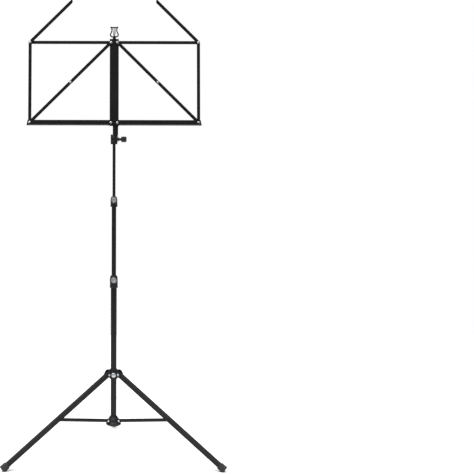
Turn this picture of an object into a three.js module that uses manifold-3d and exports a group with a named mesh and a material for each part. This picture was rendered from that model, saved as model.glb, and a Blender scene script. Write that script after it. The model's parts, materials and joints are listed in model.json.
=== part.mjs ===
// Folding music stand: tripod base, telescoping column, tilting desk that folds flat.
//
// Millimetres, +Z up, the player stands on the -Y side. The column is built on the Z axis with
// its feet at Z = 0, and the finished stand is shifted so that its origin is the middle of the
// floor area that it covers.
//
// Three sub-frames keep the sizes simple:
//   spoke frame   X points out along one leg, Y across it, Z up
//   bar frame     X runs along a leg or strut from its hub pivot, Z is its upper side
//   desk frame    X across the desk, Y up the desk, Z out of its face, origin at the tilt pivot

import * as THREE from 'three';
import { mergeVertices } from 'three/addons/utils/BufferGeometryUtils.js';
import Module from 'manifold-3d';

const wasm = await Module();
wasm.setup();

// ---------------------------------------------------------------- driving dimensions

const GAP = 0.3;                    // clearance between neighbouring pieces

// Column: three tubes that slide in each other
const LOWER_TUBE = { radius: 8, bore: 7.1, bottom: 88, top: 480 };
const MIDDLE_TUBE = { radius: 6, bore: 5.2, bottom: 320, top: 690 };
const UPPER_ROD = { radius: 4, bore: 3.2, bottom: 476, top: 857 };
const GUIDE_DISC = 5.7;             // height of the plastic disc under each sliding tube
const GUIDE_NECK = 10;              // length of the neck that plugs the tube

// Tripod
const SPOKES = [
  { name: 'left', azimuth: 210 },
  { name: 'right', azimuth: 330 },
  { name: 'rear', azimuth: 90 },
];
const LEG_PIVOT = { reach: 18, height: 227 };
const LEG_ANGLE = 55.33;            // from the vertical, stand open
const LEG = { depth: 12.5, width: 11, sheet: 1, length: 384 };
const FOOT = { start: 371.5, end: 389.5, depth: 18.4, width: 15, corner: 3 };
const STRUT_PIVOT = { reach: 20.5, height: 99.6 };
const STRUT_ANGLE = 7.7;            // above the horizontal, stand open
const STRUT = { length: 153.5, height: 6.6, sheet: 1.5, webStart: 14, webEnd: 92, boss: 1.2 };
const STRUT_ON_LEG = 188;           // distance from leg pivot to strut pivot along the leg
const PIN = { radius: 2, hole: 2.3, head: 3.2, headHeight: 1.2 };
const SLIDER = { radius: 11, bore: 8.4, bottom: 214, top: 241, root: 7.7 };
const EAR = { radius: 7.7, sheet: 2.5, lobe: 7.5, lobeReach: 15, lobeRise: 5 };
const LOWER_HUB = { rim: 20.5, waist: 16.5, neck: 10.5, bottom: 85, top: 110, lugRoot: 10 };

// Clamps and knobs
const LOWER_CLAMP = { bottom: 464, top: 497, radius: 11, screw: 487 };
const UPPER_CLAMP = { bottom: 683.5, top: 711, radius: 9.6, screw: 704 };
const CLAMP_BOSS = { radius: 5.5, front: 13.5 };
const CLAMP_KNOB = { radius: 9.5, back: 14, front: 23.5, stem: 2.2 };
const HUB_BOSS = { radius: 4.6, front: 14.4 };
const HUB_KNOB = { radius: 6.4, back: 15, front: 22, stem: 2.2 };

// Tilt joint
const TILT_PIVOT = 864;             // height of the tilt pivot
const DESK_LEAN = 12;               // degrees from the vertical, leaning away from the player
const HEAD = { left: -9.1, right: 8.9, depth: 18, bottom: 851.5, top: 876.8, corner: 4 };
const BRACKET = {
  left: -3.7, right: 10.7, sheet: 1.5, web: 1.2, eye: 6.5, bend: 10, flare: 26, depth: 8, top: 96,
};
const TILT_BOLT = { radius: 2.5, hole: 2.8, end: -8.5 };
const TILT_KNOB = { radius: 7.7, neck: 3.6, collar: 5.5, start: 11, head: 18.8, end: 33.2 };

// Desk: each half is a four-bar frame that folds upwards beside the channel
const FACE = 14.5;                  // channel face in front of the tilt pivot
const LINK = 216;                   // pivot spacing of shelf, side bar, top bar and channel
const PIVOT_SIDE = 8.6;             // desk pivots to the left and right of the middle
const SHELF_PIVOT = 42.6;           // lower desk pivots above the tilt pivot
const CHANNEL = { half: 12, depth: 10, sheet: 1, below: 8.8, above: 9.8, notch: 4.5 };
const STRIP = { width: 8.5, sheet: 1.2 };
const LAYER_STEP = STRIP.sheet + GAP;
const BRACE = LINK * Math.SQRT1_2;  // half of the diagonal
const SHELF = { top: 7.2, bottom: 7.6, depth: 22, lip: 11, sheet: 1, inner: 6, outer: 4.8 };
const SHELF_END = { bottom: 8.5, top: 5.8 };
const ARM = { length: BRACE, finger: 25, angle: 135 };
const RIVET = { radius: 2, hole: 2.3, head: 3.3, height: 1.3, tail: 2.8, tailHeight: 1 };
const LYRE = { height: 34, half: 10.8, sheet: 2.6, bar: 1.4, stem: 5.5, crossbar: 31.5, foot: 16 };

const ROUND = 20;                   // facets round a large turned piece
const SMALL_ROUND = 10;             // facets round a pin or a hole

// ---------------------------------------------------------------- finishes

const finish = {
  blackPaint: { color: 0x17171a, roughness: 0.42, metalness: 0.3 },
  blackPlastic: { color: 0x1b1b1d, roughness: 0.55, metalness: 0 },
  brightZinc: { color: 0xb9bcc0, roughness: 0.3, metalness: 1 },
  greyRubber: { color: 0x2f3032, roughness: 0.85, metalness: 0 },
};

// ---------------------------------------------------------------- shape helpers

const radians = THREE.MathUtils.degToRad;

/** Closed solid of a geometry, with its shared vertices merged. */
function solidOf(geometry) {
  const bare = new THREE.BufferGeometry();
  bare.setAttribute('position', geometry.getAttribute('position'));
  bare.setIndex(geometry.getIndex());
  const welded = mergeVertices(bare, 1e-4);
  return new wasm.Manifold(new wasm.Mesh({
    numProp: 3,
    vertProperties: new Float32Array(welded.getAttribute('position').array),
    triVerts: new Uint32Array(welded.getIndex().array),
  }));
}

/** Geometry of a solid. */
function geometryOf(solid) {
  const mesh = solid.getMesh();
  const geometry = new THREE.BufferGeometry();
  geometry.setAttribute('position', new THREE.BufferAttribute(mesh.vertProperties, 3));
  geometry.setIndex(new THREE.BufferAttribute(mesh.triVerts, 1));
  return geometry;
}

/** All the pieces as one body. */
function join(...pieces) {
  return geometryOf(pieces.map(solidOf).reduce((sum, piece) => sum.add(piece)));
}

/** The body without the tools. */
function cut(body, ...tools) {
  return geometryOf(tools.map(solidOf).reduce((rest, tool) => rest.subtract(tool), solidOf(body)));
}

/** Mirror image in the YZ plane, faces still pointing out. */
function mirrored(geometry) {
  const copy = geometry.clone().scale(-1, 1, 1);
  const index = copy.getIndex();
  for (let corner = 0; corner < index.count; corner += 3) {
    const first = index.getX(corner);
    index.setX(corner, index.getX(corner + 1));
    index.setX(corner + 1, first);
  }
  return copy;
}

/** Solid turned round Z from [radius, height] points that run upwards on the outside. */
function turned(points, facets = ROUND) {
  const profile = points.map(([radius, height]) => new THREE.Vector2(radius, height));
  return new THREE.LatheGeometry(profile, facets).rotateX(Math.PI / 2);
}

/** Round bar along Z. */
function rod(radius, bottom, top, facets = SMALL_ROUND) {
  return turned([[0, bottom], [radius, bottom], [radius, top], [0, top]], facets);
}

/** Open-ended tube along Z. */
function tube({ radius, bore, bottom, top }) {
  return turned([[bore, bottom], [radius, bottom], [radius, top], [bore, top], [bore, bottom]]);
}

/** Outline in the XY plane raised from one Z to another. */
function plate(shape, bottom, top, facets = 6) {
  const options = { depth: top - bottom, bevelEnabled: false, curveSegments: facets };
  return new THREE.ExtrudeGeometry(shape, options).translate(0, 0, bottom);
}

/** Outline drawn as (X, Z), with thickness along Y. */
function uprightPlate(shape, front, back, facets = 6) {
  return plate(shape, 0, back - front, facets).rotateX(Math.PI / 2).translate(0, back, 0);
}

/** Outline drawn as (Z, Y), with thickness along X. */
function sidePlate(shape, left, right, facets = 6) {
  return plate(shape, 0, right - left, facets).rotateY(-Math.PI / 2).translate(right, 0, 0);
}

/** Box between two corners. */
function block([x0, y0, z0], [x1, y1, z1]) {
  const box = new THREE.BoxGeometry(x1 - x0, y1 - y0, z1 - z0);
  return box.translate((x0 + x1) / 2, (y0 + y1) / 2, (z0 + z1) / 2);
}

/** Outline through a list of points. */
function outline(points) {
  return new THREE.Shape(points.map(([x, y]) => new THREE.Vector2(x, y)));
}

/** Bar outline with round ends, from its first pivot at the origin to a pivot on X. */
function barOutline(length, radius) {
  const shape = new THREE.Shape();
  shape.absarc(0, 0, radius, Math.PI / 2, Math.PI * 1.5, false);
  shape.absarc(length, 0, radius, -Math.PI / 2, Math.PI / 2, false);
  return shape;
}

/** Rectangle with round corners about the origin. */
function roundedOutline(x0, y0, x1, y1, radius) {
  const shape = new THREE.Shape();
  shape.absarc(x1 - radius, y0 + radius, radius, -Math.PI / 2, 0, false);
  shape.absarc(x1 - radius, y1 - radius, radius, 0, Math.PI / 2, false);
  shape.absarc(x0 + radius, y1 - radius, radius, Math.PI / 2, Math.PI, false);
  shape.absarc(x0 + radius, y0 + radius, radius, Math.PI, Math.PI * 1.5, false);
  return shape;
}

/** Round bar along Y, as a pivot hole or pin in the spoke and bar frames. */
function crossRod(radius, front, back, x = 0, z = 0) {
  return rod(radius, front, back).rotateX(-Math.PI / 2).translate(x, 0, z);
}

/** Named mesh in a group. */
function piece(parent, name, geometry, look) {
  geometry.computeVertexNormals();
  const mesh = new THREE.Mesh(geometry, new THREE.MeshStandardMaterial(look));
  mesh.name = name;
  parent.add(mesh);
  return mesh;
}

/** Group with a place and a turn in another group. */
function frame(parent, position = [0, 0, 0], rotation = [0, 0, 0]) {
  const group = new THREE.Group();
  group.position.set(...position);
  group.rotation.set(...rotation);
  parent.add(group);
  return group;
}

// ---------------------------------------------------------------- tripod

/** The three copies of a piece round the column. */
function onEachSpoke(geometry) {
  return SPOKES.map(({ azimuth }) => geometry.clone().rotateZ(radians(azimuth)));
}

/** Folded sheet leg, open on its underside, with round ends to its cheeks. */
function legGeometry() {
  const half = LEG.depth / 2;
  const side = LEG.width / 2;
  const profile = new THREE.Shape();
  profile.absarc(0, 0, half, Math.PI / 2, Math.PI * 1.5, false);
  profile.lineTo(LEG.length, -half);
  profile.lineTo(LEG.length, half);
  const outer = uprightPlate(profile, -side, side);
  const inside = block(
    [-half - 1, LEG.sheet - side, -half - 1],
    [LEG.length + 1, side - LEG.sheet, half - LEG.sheet],
  );
  return cut(
    outer,
    inside,
    crossRod(PIN.hole, -side - 1, side + 1),
    crossRod(PIN.hole, -side - 1, side + 1, STRUT_ON_LEG),
  );
}

/** Rubber foot cap, hollow where the leg goes in, with a flat sole on the floor. */
function footGeometry() {
  const side = FOOT.width / 2;
  const half = FOOT.depth / 2;
  const section = roundedOutline(-side, -half, side, half, FOOT.corner);
  const cap = plate(section, 0, FOOT.end - FOOT.start);
  cap.rotateZ(Math.PI / 2).rotateY(Math.PI / 2).translate(FOOT.start, 0, 0);
  const pocket = block(
    [FOOT.start - 1, -LEG.width / 2 - GAP, -LEG.depth / 2 - GAP],
    [LEG.length + GAP, LEG.width / 2 + GAP, LEG.depth / 2 + GAP],
  );
  const floor = block([-60, -40, -60], [60, 40, 0]);
  const reach = FOOT.end * Math.sin(radians(LEG_ANGLE));
  floor.translate(reach, 0, -LEG_PIVOT.height).rotateY(radians(LEG_ANGLE) - Math.PI / 2);
  return cut(cap, pocket, floor);
}

/** Pin with two round heads, along Y. */
function pinGeometry(inner) {
  const outer = inner + PIN.headHeight;
  const profile = [
    [0, -outer], [PIN.head * 0.7, -outer], [PIN.head, -inner - 0.4], [PIN.head, -inner],
    [PIN.radius, -inner], [PIN.radius, inner], [PIN.head, inner],
    [PIN.head, inner + 0.4], [PIN.head * 0.7, outer], [0, outer],
  ];
  return turned(profile, SMALL_ROUND).rotateX(-Math.PI / 2);
}

/** Strut of two flat strips that straddle hub lug and leg, joined by a web underneath. */
function strutGeometry() {
  const inner = LEG.width / 2 + GAP;
  const outer = inner + STRUT.sheet;
  const half = STRUT.height / 2;
  const holes = crossRod(PIN.hole, -outer - 1, outer + 1);
  const strip = (front, back) => uprightPlate(barOutline(STRUT.length, half), front, back);
  const boss = turned([
    [0, 0], [PIN.head, 0], [PIN.head, STRUT.boss / 3], [PIN.head * 0.7, STRUT.boss], [0, STRUT.boss],
  ], SMALL_ROUND);
  const bosses = [-1, 1].map((side) => boss.clone()
    .translate(0, 0, outer - 0.1)
    .rotateX(-side * Math.PI / 2)
    .translate(STRUT.length, 0, 0));
  const web = block([STRUT.webStart, -outer + 0.2, -half], [STRUT.webEnd, outer - 0.2, STRUT.sheet - half]);
  return join(cut(join(strip(-outer, -inner), strip(inner, outer), web), holes), ...bosses);
}

/** One leg with its foot, strut and pins. */
function addSpoke(stand, { name, azimuth }) {
  const spoke = frame(stand, [0, 0, 0], [0, 0, radians(azimuth)]);
  const legTurn = Math.PI / 2 - radians(LEG_ANGLE);
  const leg = frame(spoke, [LEG_PIVOT.reach, 0, LEG_PIVOT.height], [0, legTurn, 0]);
  piece(leg, `leg_${name}`, legGeometry(), finish.blackPaint);
  piece(leg, `foot_${name}`, footGeometry(), finish.greyRubber);
  const strutPin = crossRod(PIN.radius, -LEG.width / 2, LEG.width / 2, STRUT_ON_LEG);
  piece(leg, `strut_leg_pin_${name}`, strutPin, finish.brightZinc);
  const legPin = pinGeometry(LEG.width / 2 + GAP + EAR.sheet + GAP);
  legPin.translate(LEG_PIVOT.reach, 0, LEG_PIVOT.height);
  piece(spoke, `leg_pivot_pin_${name}`, legPin, finish.brightZinc);
  const strutAt = [STRUT_PIVOT.reach, 0, STRUT_PIVOT.height];
  const strut = frame(spoke, strutAt, [0, -radians(STRUT_ANGLE), 0]);
  piece(strut, `strut_${name}`, strutGeometry(), finish.blackPaint);
  const hubPin = pinGeometry(LEG.width / 2 + GAP + STRUT.sheet + GAP).translate(...strutAt);
  piece(spoke, `strut_hub_pin_${name}`, hubPin, finish.brightZinc);
}

/** Sleeve with three pairs of ears that holds the legs and slides on the lower tube. */
function sliderGeometry() {
  const { radius, bore, bottom, top, root } = SLIDER;
  const sleeve = turned([
    [0, bottom], [radius - 1, bottom], [radius, bottom + 1],
    [radius, top - 3], [radius - 1.5, top], [0, top],
  ]);
  const inner = LEG.width / 2 + GAP;
  const earShape = barOutline(LEG_PIVOT.reach - root, EAR.radius);
  const lobeShape = barOutline(EAR.lobeReach - root, EAR.lobe);
  const ears = [-inner - EAR.sheet, inner].flatMap((front) => {
    const ear = uprightPlate(earShape, front, front + EAR.sheet);
    const lobe = uprightPlate(lobeShape, front, front + EAR.sheet).translate(0, 0, EAR.lobeRise);
    return onEachSpoke(join(ear, lobe).translate(root, 0, LEG_PIVOT.height));
  });
  const boss = crossRod(HUB_BOSS.radius, -HUB_BOSS.front, -8, 0, LEG_PIVOT.height);
  const pinHole = crossRod(PIN.hole, -20, 20, LEG_PIVOT.reach, LEG_PIVOT.height);
  const legRoom = block([radius + 0.1, -inner, bottom - 1], [60, inner, top + 1]);
  const body = cut(
    join(sleeve, ...ears),
    ...onEachSpoke(legRoom),
    ...onEachSpoke(pinHole),
  );
  return cut(
    join(body, boss),
    rod(bore, bottom - 1, top + 1, ROUND),
    crossRod(HUB_KNOB.stem + GAP, -HUB_BOSS.front - 1, -6, 0, LEG_PIVOT.height),
  );
}

/** Fixed hub that closes the lower tube and carries the struts. */
function lowerHubGeometry() {
  const { rim, waist, neck, bottom, top, lugRoot } = LOWER_HUB;
  const lug = LEG.width / 2;
  const bell = turned([
    [0, bottom], [rim - 3, bottom], [rim, bottom + 2.5], [rim, bottom + 6],
    [waist, bottom + 10.5], [waist - 1, bottom + 16], [neck + 1.5, top - 3], [neck, top], [0, top],
  ]);
  const lugShape = barOutline(STRUT_PIVOT.reach - lugRoot, STRUT.height / 2 + 0.4);
  const lugPlate = uprightPlate(lugShape, -lug, lug).translate(lugRoot, 0, STRUT_PIVOT.height);
  const pinHole = crossRod(PIN.hole, -20, 20, STRUT_PIVOT.reach, STRUT_PIVOT.height);
  return cut(
    join(bell, ...onEachSpoke(lugPlate)),
    rod(LOWER_TUBE.radius + GAP, LOWER_TUBE.bottom - GAP, top + 1, ROUND),
    ...onEachSpoke(pinHole),
  );
}

/** Knob with a screw stem, turned round Y: head at the front, stem to the column. */
function frontKnobGeometry({ radius, back, front, stem }, stemEnd) {
  const profile = [
    [0, stemEnd], [stem, stemEnd], [stem, back], [radius * 0.8, back], [radius, back + 1.5],
    [radius, front - 2], [radius * 0.86, front - 0.6], [radius * 0.6, front], [0, front],
  ];
  return turned(profile, 16).rotateX(Math.PI / 2);
}

/** Tripod base with its hubs and hub knob. */
function addTripod(stand) {
  piece(stand, 'lower_hub', lowerHubGeometry(), finish.blackPlastic);
  piece(stand, 'hub_slider', sliderGeometry(), finish.blackPlastic);
  const knob = frontKnobGeometry(HUB_KNOB, LOWER_TUBE.radius + 0.5);
  piece(stand, 'hub_knob', knob.translate(0, 0, LEG_PIVOT.height), finish.brightZinc);
  SPOKES.forEach((spoke) => addSpoke(stand, spoke));
}

// ---------------------------------------------------------------- column

/** Moulded collar on top of a tube, with a wider bore for the tube and a close one above. */
function clampGeometry({ bottom, top, radius, screw }, outerTube, innerTube) {
  const wide = outerTube.radius + GAP;
  const close = innerTube.radius + GAP;
  const collar = turned([
    [wide, bottom], [radius - 0.8, bottom], [radius, bottom + 0.8], [radius, bottom + 3],
    [radius - 0.6, bottom + 4], [radius - 0.6, top - 9], [radius - 2, top - 3],
    [close + 1.2, top], [close, top], [close, outerTube.top + GAP],
    [wide, outerTube.top + GAP], [wide, bottom],
  ]);
  const boss = crossRod(CLAMP_BOSS.radius, -CLAMP_BOSS.front, -close - 0.8, 0, screw);
  return cut(
    join(collar, boss),
    rod(close, outerTube.top, top + 1, ROUND),
    crossRod(CLAMP_KNOB.stem + GAP, -CLAMP_BOSS.front - 1, -2, 0, screw),
  );
}

/** Plastic plug that guides the lower end of a sliding tube. */
function guideGeometry(slidingTube, outerBore) {
  const { bore, bottom } = slidingTube;
  const disc = outerBore - GAP;
  const neck = bore - GAP;
  return turned([
    [0, bottom - GAP - GUIDE_DISC], [disc - 0.5, bottom - GAP - GUIDE_DISC],
    [disc, bottom - GAP - GUIDE_DISC + 0.5], [disc, bottom - GAP],
    [neck, bottom - GAP], [neck, bottom + GUIDE_NECK], [0, bottom + GUIDE_NECK],
  ]);
}

/** Column of three tubes with their clamps, knobs and guides. */
function addColumn(stand) {
  piece(stand, 'lower_tube', tube(LOWER_TUBE), finish.blackPaint);
  piece(stand, 'middle_tube', tube(MIDDLE_TUBE), finish.blackPaint);
  piece(stand, 'upper_rod', tube(UPPER_ROD), finish.blackPaint);
  piece(stand, 'middle_tube_guide', guideGeometry(MIDDLE_TUBE, LOWER_TUBE.bore), finish.blackPlastic);
  piece(stand, 'upper_rod_guide', guideGeometry(UPPER_ROD, MIDDLE_TUBE.bore), finish.blackPlastic);
  const lower = clampGeometry(LOWER_CLAMP, LOWER_TUBE, MIDDLE_TUBE);
  const upper = clampGeometry(UPPER_CLAMP, MIDDLE_TUBE, UPPER_ROD);
  piece(stand, 'lower_clamp', lower, finish.blackPlastic);
  piece(stand, 'upper_clamp', upper, finish.blackPlastic);
  const lowerKnob = frontKnobGeometry(CLAMP_KNOB, MIDDLE_TUBE.radius + 0.5);
  const upperKnob = frontKnobGeometry(CLAMP_KNOB, UPPER_ROD.radius + 0.5);
  piece(stand, 'lower_clamp_knob', lowerKnob.translate(0, 0, LOWER_CLAMP.screw), finish.blackPlastic);
  piece(stand, 'upper_clamp_knob', upperKnob.translate(0, 0, UPPER_CLAMP.screw), finish.blackPlastic);
}

// ---------------------------------------------------------------- tilt joint

/** Moulded head that turns on the rod, slotted for the left cheek of the bracket. */
function tiltHeadGeometry() {
  const { left, right, depth, bottom, top, corner } = HEAD;
  const shape = roundedOutline(bottom, -depth / 2, top, depth / 2, corner);
  const slotLeft = BRACKET.left - GAP;
  const slotRight = BRACKET.left + BRACKET.sheet + GAP;
  const slotFloor = TILT_PIVOT - BRACKET.eye - 0.4;
  return cut(
    sidePlate(shape, left, right),
    rod(UPPER_ROD.radius + GAP, bottom - 1, UPPER_ROD.top + GAP),
    block([slotLeft, -depth, slotFloor], [slotRight, depth, top + 1]),
    rod(TILT_BOLT.hole, left - 1, right + 1).rotateY(Math.PI / 2).translate(0, 0, TILT_PIVOT),
  );
}

/** Knob with its bolt through cheeks and head, along X. */
function tiltKnobGeometry() {
  const { radius, neck, collar, start, head, end } = TILT_KNOB;
  const bolt = TILT_BOLT.radius;
  return turned([
    [0, TILT_BOLT.end], [bolt, TILT_BOLT.end], [bolt, start], [collar, start],
    [collar, start + 1.5], [neck, start + 2], [neck, head], [radius - 1, head],
    [radius, head + 1.2], [radius, end - 2.5], [radius - 2, end - 0.5], [radius - 4, end], [0, end],
  ], 16).rotateY(Math.PI / 2).translate(0, 0, TILT_PIVOT);
}

/** Sheet bracket from the tilt bolt up into the back of the channel, in the desk frame. */
function bracketGeometry() {
  const { left, right, sheet, web, eye, bend, flare, depth, top } = BRACKET;
  const front = FACE - CHANNEL.sheet - GAP;
  const back = front - depth;
  const cheekShape = outline([
    [back, top], [back, flare], [-eye * 0.6, eye * 0.8], [eye * 0.7, -eye * 0.4],
    [eye, 2], [front, bend], [front, top],
  ]);
  const eyeShape = new THREE.Shape().absarc(0, 0, eye, 0, Math.PI * 2, false);
  const cheek = (x) => join(
    sidePlate(cheekShape, x, x + sheet),
    sidePlate(eyeShape, x, x + sheet, 24),
  );
  const webPlate = block([left, bend, front - web], [right, top, front]);
  return cut(
    join(cheek(left), cheek(right - sheet), webPlate),
    rod(TILT_BOLT.hole, left - 1, right + 1).rotateY(Math.PI / 2),
  );
}

// ---------------------------------------------------------------- desk

/** Distance of a layer's back face from the channel face; layer 1 lies on the channel. */
function layerBack(layer) {
  return GAP + (layer - 1) * LAYER_STEP;
}

/** Strip between two desk pivots with a hole at the ends that turn on a rivet. */
function stripGeometry(length, layer, holes) {
  const back = layerBack(layer);
  const body = plate(barOutline(length, STRIP.width / 2), back, back + STRIP.sheet, 6);
  const tools = holes.map((x) => rod(RIVET.hole, back - 1, back + 3).translate(x, 0, 0));
  return cut(body, ...tools);
}

/** Rivet along Z through the layers from back to front, with a domed head. */
function rivetGeometry(back, lastLayer, tail) {
  const front = layerBack(lastLayer) + STRIP.sheet + GAP;
  const head = [
    [RIVET.radius, front], [RIVET.head, front], [RIVET.head, front + 0.35],
    [RIVET.head * 0.8, front + 0.95], [RIVET.head * 0.45, front + RIVET.height],
    [0, front + RIVET.height],
  ];
  const shank = tail
    ? [[0, back - GAP - RIVET.tailHeight], [RIVET.tail, back - GAP - RIVET.tailHeight],
      [RIVET.tail, back - GAP], [RIVET.radius, back - GAP]]
    : [[0, back], [RIVET.radius, back]];
  return turned([...shank, ...head], SMALL_ROUND);
}

/** Shelf half: back strip, floor and front lip, from its centre pivot outwards. */
function shelfGeometry() {
  const back = layerBack(1);
  const { top, bottom, depth, lip, sheet, inner, outer } = SHELF;
  const webShape = new THREE.Shape();
  webShape.absarc(0, 0, top, Math.PI / 2, Math.PI * 1.25, false);
  webShape.lineTo(2, -bottom);
  webShape.lineTo(LINK + SHELF_END.bottom, -bottom);
  webShape.lineTo(LINK + SHELF_END.top, top);
  const web = plate(webShape, back, back + STRIP.sheet);
  const floor = block([inner - 2, -bottom, back], [LINK + 4, sheet - bottom, back + depth]);
  const lipPlate = block(
    [inner, -bottom, back + depth - sheet],
    [LINK - outer, lip - bottom, back + depth],
  );
  const holes = [0, LINK].map((x) => rod(RIVET.hole, -1, 4).translate(x, 0, 0));
  return cut(join(web, floor, lipPlate), ...holes);
}

/** Page arm: a strip with a finger bent forwards at its tip. */
function armGeometry() {
  const strip = stripGeometry(ARM.length, 3, [0]);
  const back = layerBack(3);
  const half = STRIP.width / 2;
  const reach = ARM.length + half;
  const finger = block(
    [reach - STRIP.sheet, -half * 0.8, back],
    [reach, half * 0.8, back + ARM.finger],
  );
  const end = block([ARM.length - 2, -half * 0.8, back], [reach, half * 0.8, back + STRIP.sheet]);
  return join(strip, end, finger);
}

/** Centre channel: a U section, open at the back, notched at its top. */
function channelGeometry() {
  const { half, depth, sheet, below, above, notch } = CHANNEL;
  const bottom = SHELF_PIVOT - below;
  const top = SHELF_PIVOT + LINK + above;
  const solid = block([-half, bottom, FACE - depth], [half, top, FACE]);
  const inside = block(
    [sheet - half, bottom - 1, FACE - depth - 1],
    [half - sheet, top + 1, FACE - sheet],
  );
  const notchCut = rod(notch, FACE - depth - 1, FACE + 1).translate(0, top, 0);
  const holes = [-PIVOT_SIDE, PIVOT_SIDE].flatMap((x) => [0, LINK].map((y) => (
    rod(RIVET.hole, FACE - 3, FACE + 1).translate(x, SHELF_PIVOT + y, 0))));
  return cut(solid, inside, notchCut, ...holes);
}

/** Lyre ornament: stem, two bowed arms, crossbar with cupped ends and three strings. */
function lyreGeometry() {
  const { height, half, sheet, bar, stem, crossbar, foot } = LYRE;
  const back = FACE - CHANNEL.sheet - sheet - GAP;
  const front = back + sheet;
  const bow = new THREE.CatmullRomCurve3([
    new THREE.Vector3(0, stem, 0),
    new THREE.Vector3(half * 0.6, stem + 1.2, 0),
    new THREE.Vector3(half - bar, height * 0.37, 0),
    new THREE.Vector3(half * 0.68, height * 0.6, 0),
    new THREE.Vector3(half * 0.62, height * 0.74, 0),
    new THREE.Vector3(half * 0.74, crossbar, 0),
  ]);
  const centre = bow.getPoints(14);
  const offset = (sign) => centre.map((point, index) => {
    const next = centre[Math.min(index + 1, centre.length - 1)];
    const last = centre[Math.max(index - 1, 0)];
    const along = new THREE.Vector2(next.x - last.x, next.y - last.y).normalize();
    return [point.x - sign * along.y * bar, point.y + sign * along.x * bar];
  });
  const bowPlate = plate(outline([...offset(-1), ...offset(1).reverse()]), back, front);
  const cupRadius = bar * 1.3;
  const cup = rod(cupRadius, back, front).translate(half - cupRadius, height - cupRadius, 0);
  const footPlate = block([-half * 0.45, -foot, back], [half * 0.45, stem + 1, front]);
  const barPlate = block([bar - half, crossbar - bar, back], [half - bar, crossbar + bar, front]);
  const strings = [-1, 0, 1].map((side) => (
    block([side * 2.6 - 0.6, stem, back + 0.6], [side * 2.6 + 0.6, crossbar, front - 0.6])));
  const rightSide = [bowPlate, cup].map((shape) => geometryOf(solidOf(shape)));
  const leftSide = rightSide.map(mirrored);
  const shape = join(footPlate, barPlate, ...strings, ...leftSide, ...rightSide);
  return shape.translate(0, SHELF_PIVOT + LINK + CHANNEL.above, 0);
}

/** One half of the desk. Its pieces are built for the right and mirrored for the left. */
function addDeskHalf(desk, side) {
  const flip = side === 'left' ? mirrored : (geometry) => geometry;
  const lower = SHELF_PIVOT;
  const upper = SHELF_PIVOT + LINK;
  const outer = PIVOT_SIDE + LINK;
  const middle = PIVOT_SIDE + LINK / 2;
  const add = (name, geometry, angle, x, y, look) => {
    const placed = geometry.rotateZ(radians(angle)).translate(x, y, FACE);
    piece(desk, `${name}_${side}`, flip(placed), look);
  };
  const paint = finish.blackPaint;
  const zinc = finish.brightZinc;
  add('shelf', shelfGeometry(), 0, PIVOT_SIDE, lower, paint);
  add('top_bar', stripGeometry(LINK, 1, [0, LINK]), 0, PIVOT_SIDE, upper, paint);
  add('side_bar', stripGeometry(LINK, 2, [0, LINK]), 90, outer, lower, paint);
  add('upper_brace', stripGeometry(BRACE, 2, [0]), -45, PIVOT_SIDE, upper, paint);
  add('lower_brace', stripGeometry(BRACE, 3, [0, BRACE]), 135, outer, lower, paint);
  add('page_arm', armGeometry(), ARM.angle, outer, upper, paint);
  const behindChannel = -CHANNEL.sheet;
  const rivet = (...sizes) => geometryOf(solidOf(rivetGeometry(...sizes)));
  add('shelf_rivet', rivet(behindChannel, 1, false), 0, PIVOT_SIDE, lower, zinc);
  add('top_bar_rivet', rivet(behindChannel, 2, false), 0, PIVOT_SIDE, upper, zinc);
  add('shelf_corner_rivet', rivet(layerBack(1), 3, true), 0, outer, lower, zinc);
  add('top_corner_rivet', rivet(layerBack(1), 3, true), 0, outer, upper, zinc);
  add('brace_rivet', rivet(layerBack(3), 3, false), 0, middle, lower + LINK / 2, zinc);
}

/** Tilt head, knob and the whole desk above them. */
function addDesk(stand) {
  piece(stand, 'tilt_head', tiltHeadGeometry(), finish.blackPlastic);
  piece(stand, 'tilt_knob', tiltKnobGeometry(), finish.blackPlastic);
  const desk = frame(stand, [0, 0, TILT_PIVOT], [Math.PI / 2 - radians(DESK_LEAN), 0, 0]);
  piece(desk, 'tilt_bracket', bracketGeometry(), finish.blackPaint);
  piece(desk, 'centre_channel', channelGeometry(), finish.blackPaint);
  piece(desk, 'lyre_finial', lyreGeometry(), finish.blackPaint);
  ['left', 'right'].forEach((side) => addDeskHalf(desk, side));
}

// ---------------------------------------------------------------- the stand

const stand = new THREE.Group();
addTripod(stand);
addColumn(stand);
addDesk(stand);

// Origin: middle of the floor area, on the floor
const bounds = new THREE.Box3().setFromObject(stand, true);
stand.position.set(
  -(bounds.min.x + bounds.max.x) / 2,
  -(bounds.min.y + bounds.max.y) / 2,
  -bounds.min.z,
);

const model = new THREE.Group();
model.add(stand);

export default model;
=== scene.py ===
"""Folding music stand: detailed pieces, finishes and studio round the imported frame.

Each sub-assembly is a class. Its sizes are fields in millimetres, and a piece becomes metres when
it is placed. Places and axes come from the frame's joints and boxes, so nothing is fitted by hand.
"""

import json
import logging
import math
from dataclasses import dataclass, field
from enum import Enum
from typing import Optional, Sequence

import bmesh
import bpy
from mathutils import Matrix, Vector


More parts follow.
